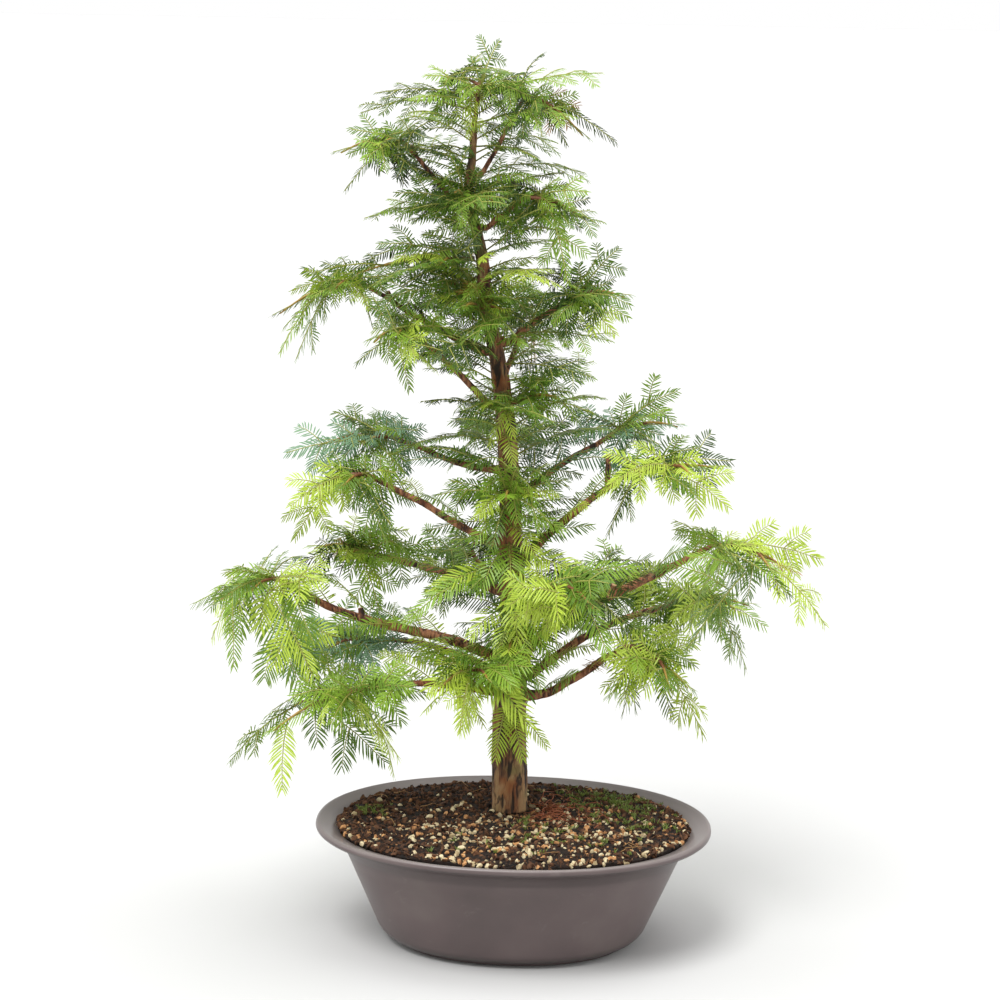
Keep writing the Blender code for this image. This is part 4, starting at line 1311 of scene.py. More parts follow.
# Long shoots before the trunk, by the part of the crown and by what they grow from: the place on
# it, how far their tips lie to the side, forward and up, how far they arch, and their needles.
FRONT_SHOOTS = {
    (Tier.MIDDLE, "trunk"): (
        (0.425, 0.030, 0.040, -0.024, 0.020, 0.018, Green.LIME),
        (0.432, 0.056, 0.036, -0.004, 0.020, 0.016, Green.FRESH),
        (0.428, -0.034, 0.040, -0.012, 0.016, 0.016, Green.FRESH),
        (0.388, 0.091, 0.045, -0.022, 0.040, 0.021, Green.LIME),
        (0.382, 0.043, 0.055, -0.052, 0.034, 0.026, Green.LIME),
        (0.374, 0.070, 0.055, -0.036, 0.030, 0.019, Green.FRESH),
        (0.384, -0.077, 0.034, -0.022, 0.014, 0.020, Green.LIME),
        (0.376, -0.104, 0.048, -0.044, 0.034, 0.018, Green.FRESH),
        (0.408, 0.006, 0.050, -0.052, 0.026, 0.021, Green.FRESH),
        (0.404, -0.026, 0.048, -0.040, 0.026, 0.018, Green.FRESH),
        (0.362, 0.010, 0.055, -0.046, 0.030, 0.022, Green.LIME),
        (0.352, 0.034, 0.050, -0.040, 0.026, 0.020, Green.FRESH),
        (0.350, -0.018, 0.040, -0.040, 0.020, 0.018, Green.LEAF),
        (0.306, 0.008, 0.040, -0.044, 0.020, 0.018, Green.FRESH),
        (0.340, -0.040, 0.045, -0.022, 0.020, 0.017, Green.LIME),
        (0.336, -0.010, 0.055, -0.044, 0.030, 0.016, Green.LIME),
        (0.334, 0.018, 0.052, -0.038, 0.026, 0.016, Green.LIME),
        (0.330, 0.044, 0.045, -0.034, 0.022, 0.018, Green.FRESH),
    ),
    (Tier.UPPER_RIGHT, "trunk"): (
        (0.470, 0.012, 0.040, -0.034, 0.018, 0.014, Green.FRESH),
        (0.450, -0.014, 0.045, -0.040, 0.018, 0.015, Green.LEAF),
        (0.520, 0.010, 0.036, -0.026, 0.016, 0.012, Green.LIME),
        (0.545, 0.012, 0.036, -0.022, 0.016, 0.012, Green.LIME),
    ),
    (Tier.LOW_LEFT, "low_left_front"): (
        (0.48, 0.086, 0.058, -0.026, 0.064, 0.027, Green.LIME),
        (0.62, 0.090, 0.040, -0.006, 0.060, 0.024, Green.FRESH),
    ),
    (Tier.LOW_LEFT, "low_front_left"): (
        (0.90, 0.036, 0.034, -0.032, 0.022, 0.023, Green.LIME),
    ),
    (Tier.LOW_LEFT, "trunk"): (
        (0.290, 0.018, 0.034, -0.036, 0.014, 0.020, Green.LEAF),
        (0.240, -0.010, 0.036, -0.050, 0.014, 0.017, Green.LIME),
        (0.238, 0.018, 0.034, -0.048, 0.014, 0.015, Green.LIME),
    ),
    (Tier.LOW_RIGHT, "trunk"): (
        (0.234, 0.042, 0.026, -0.032, 0.014, 0.013, Green.LIME),
    ),
}


@dataclass
class Thicket:
    """The shoots of one part of the crown, of one tint, as they are added one by one."""

    shoots: list[Feather]
    tier: Tier
    tint: Tint
    rng: random.Random

    SIDE_PAIRS = 2
    RIB_RADIUS, SIDE_RADIUS, TWIG_RADIUS, TWIG_SIDE_RADIUS = 0.0011, 0.0008, 0.0010, 0.0007
    BARE_LONG, BARE_SHORT = 0.10, 0.06  # shares of a shoot without needles
    SIDE_NEEDLE, TWIG_NEEDLE, BRANCHLET_NEEDLE = 0.90, 0.85, 0.8  # shares of the usual needle
    SPRAY_ARCH, SPRAY_SPREAD = 0.12, 0.6
    SINGLE_TURN, SINGLE_LIFT = (8, 62), (0.08, 0.26)
    BRANCHLET_TURN, BRANCHLET_LIFT = (-35, 35), (0.10, 0.24)
    DRIFT = 0.1
    FILLERS, OPEN_FILLERS = 10, 8  # fewer where the crown is open
    OPEN_TIERS = (Tier.MIDDLE, Tier.UPPER_LEFT, Tier.UPPER_RIGHT)
    COARSE_TIERS = (Tier.LOW_RIGHT, Tier.LOW_LEFT)
    FILLER_LIKELY, FILLER_PLACES = 0.075, 8
    SHORTEST, LONGEST = 0.050, 0.115
    PITCH = 0.015  # between the side shoots of a branchlet

    def deal(self) -> Green:
        """Deals out one spray's colour."""
        return self.rng.choices(list(Green), TINT_SHARES[self.tint])[0]

    def needle(self, least: float, most: float) -> float:
        """Returns a length for a shoot's needles, between two shares of what is usual here."""
        return TIER_NEEDLES[self.tier] * self.rng.uniform(least, most)

    def arched(
        self, root: Vector, tip: Vector, roll: float, lifts: tuple[float, float]
    ) -> tuple[Vector, Vector, Vector, Vector]:
        """Bends a shoot.

        Args:
            root: Where it starts.
            tip: Where it ends.
            roll: How far its needles turn out of the level.
            lifts: The least and the most that it arches, over its length.

        Returns:
            Its root, control point, tip and the way across it.
        """
        way = tip - root
        level = level_across(way)
        lift, drift = self.rng.uniform(*lifts), self.rng.uniform(-self.DRIFT, self.DRIFT)
        middle = (root + tip) / 2 + UP * way.length * lift + level * way.length * drift
        return root, middle, tip, Quaternion(way.normalized(), roll) @ level

    def add_spray(self, spray: Spray) -> None:
        """Adds a spray as one long shoot along its rib and side shoots out to its teeth."""
        green = self.deal()
        across = spray.point(0.5, 1.0, 0.0) - spray.point(0.5, 0.0, 0.0)
        size = min(1.2, 0.62 + (spray.tip - spray.root).length * 4.4)
        needle = TIER_NEEDLES[self.tier] * size * self.rng.uniform(0.92, 1.12)
        bent = spray.root, spray.middle, spray.tip, across
        self.shoots.append(Feather(*bent, green, needle, self.BARE_LONG, self.RIB_RADIUS))
        leads = [spray.TINE_LEAD] * (self.SIDE_PAIRS - 1) + [spray.LAST_TINE_LEAD]
        for j, lead in enumerate(leads):
            k = j * spray.TEETH / self.SIDE_PAIRS
            start, end = spray.tooth_place(k), min(1.0, spray.tooth_place(k + lead))
            root = spray.point(start, 0.0, 0.0)
            along = (spray.point(min(1.0, start + 0.1), 0.0, 0.0) - root).normalized()
            for side in (across, -across):
                reach = spray.reach(k) * self.rng.uniform(0.86, 1.0)
                tip = spray.point(end, math.copysign(reach, side.dot(across)), -reach * spray.TINE_DROOP)
                way = tip - root
                arch = way.length * self.SPRAY_ARCH * (UP + side * self.SPRAY_SPREAD)
                blade = side.cross(along).cross(way.normalized()).normalized()
                bent, size = (root, (root + tip) / 2 + arch, tip, blade), needle * self.SIDE_NEEDLE
                self.shoots.append(Feather(*bent, green, size, self.BARE_SHORT, self.SIDE_RADIUS))

    def add_single(self, root: Vector, tip: Vector, needle: float) -> None:
        """Adds one shoot that arches from root to tip, with needles of a given length."""
        roll = self.rng.choice((-1, 1)) * math.radians(self.rng.uniform(*self.SINGLE_TURN))
        bent = self.arched(root, tip, roll, self.SINGLE_LIFT)
        self.shoots.append(Feather(*bent, self.deal(), needle))

    def add_branchlet(self, root: Vector, tip: Vector, needle: float) -> None:
        """Adds a thin arching twig with short shoots by turns to its left and right.

        Args:
            root: Where it starts.
            tip: Where it ends.
            needle: Its needles' length.
        """
        green, draw = self.deal(), self.rng.uniform
        bent = self.arched(root, tip, math.radians(draw(*self.BRANCHLET_TURN)), self.BRANCHLET_LIFT)
        twig = Feather(*bent, green, needle * self.TWIG_NEEDLE, self.BARE_LONG, self.TWIG_RADIUS)
        self.shoots.append(twig)
        length = (tip - root).length
        count = int(length / self.PITCH)
        for k in range(count):
            t = blended(0.16, 0.90, (k + draw(-0.2, 0.2)) / count)
            point, ahead = (Vector(row[0]) for row in twig.rib(np.array([t])))
            side = twig.across * (1 if k % 2 else -1)
            reach = blended(0.42, 0.20, t) * length
            out = (ahead * draw(0.5, 0.8) + side * draw(0.7, 1.0) - UP * draw(0.0, 0.25)).normalized()
            bend = point + out * reach / 2 + UP * reach * 0.10 + ahead * reach * 0.06
            bent = point, bend, point + out * reach, side.cross(ahead).cross(out).normalized()
            size = needle * draw(0.8, 1.0)
            self.shoots.append(Feather(*bent, green, size, self.BARE_SHORT, self.TWIG_SIDE_RADIUS))

    def fill(self, mass: Mass, crown: Crown) -> None:
        """Adds shoots at the ends of a mass's stem and twigs and into the room between its sprays."""
        wood = crown.lines[mass.name]
        for line in wood:
            root, ahead = point_along(line, 0.40)
            middle, _ = point_along(line, 0.72)
            bent = root, middle, line[-1] + ahead * 0.008, ahead.cross(UP).normalized()
            self.shoots.append(Feather(*bent, self.deal(), TIER_NEEDLES[self.tier]))
        sprays = crown.sprays[mass.name]
        ribs = [[spray.point(t, 0.0, 0.0) for t in (0.05, 0.25, 0.45, 0.65)] for spray in sprays]
        taken: set = set()
        fillers = self.OPEN_FILLERS if self.tier in self.OPEN_TIERS else self.FILLERS
        for k in range(fillers):
            target = wood[0][0].lerp(crown.aim(mass, k, fillers, self.rng), self.rng.uniform(0.62, 1.0))
            found = crown.best_root(wood + ribs, target, taken, self.FILLER_PLACES, self.FILLER_LIKELY)
            if found is None:
                continue
            taken.add(found[:2])
            root, way = found[2], target - found[2]
            tip = root + way.normalized() * max(self.SHORTEST, min(self.LONGEST, way.length))
            needle = self.needle(0.82, 1.14)
            if k % 3 == 0 and self.tier not in self.COARSE_TIERS:
                self.add_branchlet(root, tip, needle * self.BRANCHLET_NEEDLE)
            else:
                self.add_single(root, tip, needle)

    def add_along(self, bough: Bough, points: Sequence[Vector]) -> None:
        """Adds shoots along the outer part of a bough, by turns to its left and right."""
        draw = self.rng.uniform
        count = int(bough.reach * 0.88 / self.PITCH)
        for k in range(count):
            root, ahead = point_along(points, 0.12 + 0.86 * (k + draw(0.2, 0.8)) / count)
            side = ahead.cross(UP).normalized() * (1 if k % 2 else -1)
            way = side * draw(0.6, 1.0) + ahead * draw(0.45, 0.95) + UP * draw(-0.35, 0.4)
            tip = root + way.normalized() * draw(0.045, 0.090)
            self.add_single(root, tip, self.needle(0.75, 1.1))


@dataclass
class Foliage:
    """Turns the crown's sprays into needled shoots, and adds what grows from its boughs and trunk."""

    crown: Crown
    boughs: dict[str, list[Vector]]
    feathers: defaultdict[Tier, list[Feather]] = field(default_factory=lists)

    STEM_STEP, STEM_SIDES, STEM_TAPER = 0.006, 6, 0.6
    OLD_WOOD = 0.55  # share of a stem's length
    TRUNK_SHOOTS, TRUNK_LOW, TRUNK_HIGH, TRUNK_END = 150, 0.33, 0.868, 0.855
    TIER_TOPS = ((Tier.MIDDLE, 0.46), (Tier.UPPER_RIGHT, 0.56), (Tier.HIGH, 0.70), (Tier.TOP, 9.0))
    FINE_FROM = 0.48  # height from which the trunk bears branchlets too
    FACING_MOST = 0.75  # past this a shoot from the trunk hides it
    FRONT_AZIMUTH, FRONT_RADIUS = 265.0, 0.0012

    def thicket(self, name: str, seed: int) -> Thicket:
        """Returns the thicket of a mass or a bough."""
        tier = TIERS[name]
        return Thicket(self.feathers[tier], tier, MASS_TINTS[name], random.Random(seed))

    def along_trunk(self, rng: random.Random) -> None:
        """Adds shoots straight from the trunk's upper part, all round but for its face."""
        for k in range(self.TRUNK_SHOOTS):
            place = ((k + rng.random()) / self.TRUNK_SHOOTS) ** 0.8
            height = blended(self.TRUNK_LOW, self.TRUNK_HIGH, place)
            centre, radius = TrunkLine.at(min(height, self.TRUNK_END))
            out = heading(math.degrees(k * Crown.GOLDEN_ANGLE))
            facing = out.dot(Vector((0.05, -1, 0)))
            if facing > self.FACING_MOST and k % 3 == 0:
                continue
            tier = next(tier for tier, top in self.TIER_TOPS if height < top)
            # Shoots on the trunk's far side, and all at the top, get the darker greens of the shaded tint:
            # painted shade.
            tint = Tint.COMMON if facing > 0.0 and tier is not Tier.TOP else Tint.SHADED
            thicket = Thicket(self.feathers[tier], tier, tint, rng)
            fine = height > self.FINE_FROM and k % 2 == 0
            length = rng.uniform(0.070, 0.130) if fine else rng.uniform(0.040, 0.085)
            root = centre + out * radius * 0.8
            tip = root + (out + UP * rng.uniform(-0.15, 0.35)).normalized() * length
            add = thicket.add_branchlet if fine else thicket.add_single
            add(root, tip, thicket.needle(0.75, 1.0))

    def add_front(self) -> None:
        """Adds the long shoots that hang before the trunk."""
        out = Vector((0.0, -1.0, 0.0))
        for (tier, host), rows in FRONT_SHOOTS.items():
            for place, side, forward, up, rise, needle, green in rows:
                if host == "trunk":
                    centre, radius = TrunkLine.at(place)
                    root = centre + heading(self.FRONT_AZIMUTH) * radius * 0.85
                else:
                    root, _ = point_along(self.boughs[host], place)
                way = Vector((side, -forward, up))
                across = way.cross(UP * 0.8 + out * 0.6).cross(way).cross(way).normalized()
                bent = root, root + way / 2 + (UP + out * 0.5) * rise, root + way, across
                shoot = Feather(*bent, green, needle, Thicket.BARE_LONG, self.FRONT_RADIUS)
                self.feathers[tier].append(shoot)

    def grow(self) -> None:
        """Works out every needled shoot of the tree."""
        for number, mass in enumerate(MASSES):
            thicket = self.thicket(mass.name, SEED * 10 + number)
            for spray in self.crown.sprays[mass.name]:
                thicket.add_spray(spray)
            thicket.fill(mass, self.crown)
        for number, bough in enumerate(BOUGHS):
            self.thicket(bough.name, SEED * 20 + number).add_along(bough, self.boughs[bough.name])
        self.along_trunk(random.Random(SEED * 30))
        self.add_front()

    def add_stem(self, twigs: Batch, line: Sequence[Vector], radii: Sequence[float]) -> None:
        """Adds a stem or twig that is old wood at its root and this year's shoot at its end."""
        points = np.array([tuple(point) for point in smooth_line(line, self.STEM_STEP)])
        share = np.linspace(0, 1, len(points))
        width = np.interp(share, np.linspace(0, 1, len(radii)), radii)
        width = width * np.interp(share, (0, 1), (1.0, self.STEM_TAPER))
        corners, faces = tube(points, width, self.STEM_SIDES)
        old = faces.mean(1) < 1 + self.STEM_SIDES * len(points) * self.OLD_WOOD
        twigs.add(corners, faces, np.where(old, 0, 1))

    def build(self) -> list[Object]:
        """Makes the needle and twig pieces, one of each for every part of the crown."""
        self.grow()
        leaf = [finish.material() for finish in NEEDLES]
        wood = [finish.material() for finish in (OLD_SHOOT, NEW_SHOOT, GREEN_SHOOT)]
        pieces = []
        for number, tier in enumerate(Tier):
            rng = np.random.default_rng(SEED + number)
            needles, twigs = Batch(), Batch()
            for feather in self.feathers[tier]:
                needles.add(*feather.needles(rng), feather.green.value)
                twigs.add(*feather.shoot(), 2)
            for name in TIER_MASSES[tier]:
                for line, radii in zip(self.crown.lines[name], self.crown.radii[name]):
                    self.add_stem(twigs, line, radii)
            nodes = ["foliage_" + name for name in TIER_MASSES[tier]]
            pieces.append(settle(needles.piece("needles_" + tier.value, leaf), "foliage", *nodes))
            pieces.append(settle(twigs.piece("twigs_" + tier.value, wood, True), "bough", *nodes))
        return pieces


# Trunk and boughs


@dataclass
class Trunk:
    """The trunk: fibrous bark in upright strips, with a flare at the foot."""

    resolution: int = 22
    step: float = 0.0026
    flare: float = 0.16
    flare_height: float = 0.016
    bark_share: float = 0.99  # of the solid's radius, which the relief fills

    # Size in mm, how far drawn out upright, height in mm, and whether it has keen creases.
    RELIEF = ((15, 3.0, 2.4, False), (5.0, 7.0, 2.2, True), (2.2, 5.0, 0.5, True))

    def build(self) -> list[Object]:
        """Makes the trunk's bark in relief."""
        foot, top = TRUNK_STEPS[0].height, TRUNK_STEPS[-1].height
        count = round((top - foot) / self.step)
        centres, radii = [], []
        for height in (foot + (top - foot) * k / count for k in range(count + 1)):
            centre, radius = TrunkLine.at(height)
            flare = 1 + self.flare * math.exp(-(height - foot) / self.flare_height)
            centres.append(centre)
            radii.append(radius * flare * self.bark_share)
        trunk = limb_mesh("trunk_bark", centres, radii, self.resolution)
        for relief in self.RELIEF:
            roughen(trunk, *relief)
        trunk.data.materials.append(TRUNK_BARK.material())
        choose(trunk)
        bpy.ops.object.shade_smooth()
        return [settle(trunk, "trunk", "trunk")]


@dataclass(frozen=True)
class Stub:
    """A pruned end: a short dead length of a limb with pale wood at its cut."""

    bough: str
    place: float
    way: tuple[float, float, float]
    length: float
    radius: float


STUBS = (
    Stub("low_right", 0.97, (0.78, -0.1, 0.45), 0.012, 0.0042),
    Stub("mid_right", 0.55, (0.25, -0.2, 0.9), 0.012, 0.0036),
    Stub("upper_right", 0.92, (0.0, 0.0, 1.0), 0.034, 0.0026),
    Stub("high_left", 0.82, (-0.35, -0.2, 0.9), 0.010, 0.0028),
    Stub("high_left", 0.60, (-0.1, -0.3, 0.95), 0.007, 0.0026),
    Stub("high_right", 0.95, (0.8, 0.0, 0.5), 0.012, 0.0030),
    Stub("low_left", 0.97, (-0.8, 0.0, 0.6), 0.014, 0.0036),
    Stub("low_left", 0.70, (-0.2, 0.2, 0.95), 0.010, 0.0030),
    Stub("top_left", 0.90, (-0.5, 0.0, 0.9), 0.012, 0.0022),
)


@dataclass
class Boughs:
    """Every bough, with its bark, its collar at the trunk and its pruned ends."""

    lines: dict[str, list[Vector]]
    resolution: int = 6
    step: float = 0.003
    inset: float = 0.004
    collar: float = 0.42
    collar_length: float = 0.006
    bark_share: float = 0.98
    stub_steps: int = 5
    cut_sides: int = 14
    cut_share: float = 0.8  # of the stub's end
    cut_bevel: float = 0.0002
    smooth_to: float = 50.0  # degrees between faces

    RELIEF = ((7, 1.0, 1.0, False), (2.4, 1.0, 0.5, True))

    def bough_mesh(self, bough: Bough) -> Object:
        """Makes one bough, from inside the trunk to its tip."""
        line = self.lines[bough.name]
        points = smooth_line(line, self.step)
        points.insert(0, line[0] - (line[1] - line[0]).normalized() * self.inset)
        radii = []
        for point, radius in zip(points, tapered(bough.root, bough.tip, len(points) - 1)):
            collar = 1 + self.collar * math.exp(-(point - line[0]).length / self.collar_length)
            radii.append(radius * collar * self.bark_share)
        return limb_mesh("limb_" + bough.name, points, radii, self.resolution)

    def stub_meshes(self, stub: Stub) -> tuple[Object, Object]:
        """Makes a pruned end: its bark and the pale disc of its cut."""
        root, _ = point_along(self.lines[stub.bough], stub.place)
        way = Vector(stub.way).normalized()
        shares = [k / self.stub_steps for k in range(self.stub_steps + 1)]
        points = [root + way * stub.length * share for share in shares]
        radii = [stub.radius * (1.25 - 0.3 * share) for share in shares]
        bark = limb_mesh("stub_" + stub.bough, points, radii, self.resolution)
        deselect_all()
        bpy.ops.mesh.primitive_cylinder_add(
            vertices=self.cut_sides,
            radius=radii[-1] * self.cut_share,
            depth=4 * self.cut_bevel,
            location=points[-1] + way * self.cut_bevel,
            rotation=way.to_track_quat("Z", "Y").to_euler(),
        )
        cut = edit_whole(partial(bpy.ops.mesh.bevel, offset=self.cut_bevel, segments=2))
        bpy.ops.object.transform_apply(location=True, rotation=True, scale=True)
        return bark, cut

    def build(self) -> list[Object]:
        """Makes the boughs, joined by the part of the crown that they carry."""
        bark, pale = BOUGH_BARK.material(), CUT_WOOD.material()
        pieces = []
        for tier, names in TIER_MASSES.items():
            limbs = [self.bough_mesh(bough) for bough in BOUGHS if bough.name in names]
            stubs = [self.stub_meshes(stub) for stub in STUBS if stub.bough in names]
            joined = join_named("bark", limbs + [limb for limb, _ in stubs])
            for relief in self.RELIEF:
                roughen(joined, *relief)
            joined.data.materials.append(bark)
            for _, cut in stubs:
                cut.data.materials.append(pale)
            whole = join_named("boughs_" + tier.value, [joined, *(cut for _, cut in stubs)])
            choose(whole)
            bpy.ops.object.shade_smooth_by_angle(angle=math.radians(self.smooth_to))
            nodes = ["bough_" + bough.name for bough in BOUGHS if bough.name in names]
            pieces.append(settle(whole, "bough", *nodes))
        return pieces


# Pot and soil


@dataclass
class Pot:
    """The oval training pot: straight leaning walls, a cove under the rim and a rolled bead."""

    rim_length: float = 0.406
    rim_width: float = 0.320
    height: float = 0.121
    base_length: float = 0.264
    base_width: float = 0.217
    shoulder_length: float = 0.344
    shoulder_width: float = 0.258
    shoulder_height: float = 0.0915
    lip_reach: float = 0.022
    lip_rise: float = 0.0065
    bead: float = 0.0034
    wall: float = 0.0048
    floor: float = 0.0085
    corner: float = 0.014
    foot_inset: float = 0.0125
    foot_height: float = 0.0035
    foot_edge: float = 0.0006
    lip_groove: tuple[float, float] = (0.001, 0.0016)  # inside the bead, and below the rim
    lip_turn: tuple[float, float] = (0.6, 0.0036)  # share of the lip's reach, and below the rim
    squareness: float = 2.15
    sides: int = 128
    drain_radius: float = 0.008
    drain_spacing: float = 0.12
    smooth_to: float = 38.0  # degrees between faces

    def on_wall(self, inset: float, z: float) -> tuple[float, float, float]:
        """Returns half the length, half the width and the height of a ring inside the outer wall."""
        share = z / self.shoulder_height
        length = blended(self.base_length, self.shoulder_length, share)
        width = blended(self.base_width, self.shoulder_width, share)
        return length / 2 - inset, width / 2 - inset, z

    def on_rim(self, inset: float, z: float) -> tuple[float, float, float]:
        """Returns half the length, half the width and the height of a ring inside the rim's edge."""
        return self.rim_length / 2 - inset, self.rim_width / 2 - inset, z

    def profile(self) -> list[tuple[float, float, float]]:
        """Returns the pot's section from under its foot, over the rim and down to the inner floor.

        Returns:
            Half length, half width and height of each ring.
        """
        length, width, _ = self.on_wall(self.foot_inset, self.foot_height)
        rings = [(length - self.foot_edge, width - self.foot_edge, 0.0)]
        rings += [(length, width, z) for z in (self.foot_edge, self.foot_height)]
        for angle in (math.radians(90) * step / 8 for step in range(9)):
            inset = self.corner * 0.75 * (1 - math.sin(angle))
            rings.append(self.on_wall(inset, self.foot_height + self.corner * (1 - math.cos(angle))))
        low = self.foot_height + self.corner
        for step in range(1, 7):
            rings.append(self.on_wall(0.0, blended(low, self.shoulder_height, step / 6)))
        cove = (self.rim_length - self.shoulder_length) / 2
        bead_bottom = self.height - 2 * self.bead - 0.001
        for share in (step / 8 for step in range(1, 9)):
            z = blended(self.shoulder_height, bead_bottom, math.sin(share * math.pi / 2))
            rings.append(self.on_rim(blended(cove, self.bead, share), z))
        for angle in (math.radians(-75 + 15 * step) for step in range(13)):
            z = self.height - self.bead * (1 - math.sin(angle))
            rings.append(self.on_rim(self.bead * (1 - math.cos(angle)), z))
        rings.append(self.on_rim(2 * self.bead + self.lip_groove[0], self.height - self.lip_groove[1]))
        rings.append(self.on_rim(self.lip_turn[0] * self.lip_reach, self.height - self.lip_turn[1]))
        rings.append(self.on_rim(self.lip_reach, self.height - self.lip_rise))
        rings += [self.on_wall(self.wall, z) for z in (self.shoulder_height + 0.010, self.floor + 0.008)]
        return [*rings, self.on_wall(self.wall + 0.006, self.floor)]

    def cut_drain(self, pot: Object, x: float) -> None:
        """Cuts one drain hole through the floor at x."""
        deselect_all()
        bpy.ops.mesh.primitive_cylinder_add(
            vertices=32, radius=self.drain_radius, depth=4 * self.floor, location=(x, 0, self.floor / 2)
        )
        cutter = bpy.context.object
        hole = pot.modifiers.new("drain", "BOOLEAN")
        hole.object = cutter
        apply_modifiers(pot)
        bpy.data.objects.remove(cutter)

    def build(self) -> list[Object]:
        """Extrudes an oval ring by ring through the pot's section, and cuts its drain holes."""
        rings = self.profile()
        deselect_all()
        bpy.ops.mesh.primitive_circle_add(vertices=self.sides, radius=1.0, fill_type="NGON")
        pot = bpy.context.object
        pot.name = "pot_shell"
        power = 2 / self.squareness
        for vertex in pot.data.vertices:
            for axis, half in enumerate(rings[0][:2]):
                share = vertex.co[axis]
                vertex.co[axis] = half * math.copysign(abs(share) ** power, share)
        steps: list[Callable[[], object]] = [partial(bpy.ops.mesh.select_mode, type="FACE")]
        for before, after in zip(rings, rings[1:]):
            rise = {"value": (0, 0, after[2] - before[2]), "orient_type": "GLOBAL"}
            growth = after[0] / before[0], after[1] / before[1], 1.0
            steps.append(partial(bpy.ops.mesh.extrude_region_move, TRANSFORM_OT_translate=rise))
            steps.append(partial(bpy.ops.transform.resize, value=growth, center_override=(0, 0, 0)))
        edit_whole(*steps, clean_skin)
        for side in (-1, 1):
            self.cut_drain(pot, side * self.drain_spacing / 2)
        pot.data.materials.append(MouldedPotFinish().material())
        choose(pot)
        bpy.ops.object.shade_smooth_by_angle(angle=math.radians(self.smooth_to))
        return [settle(pot, "pot", "pot")]


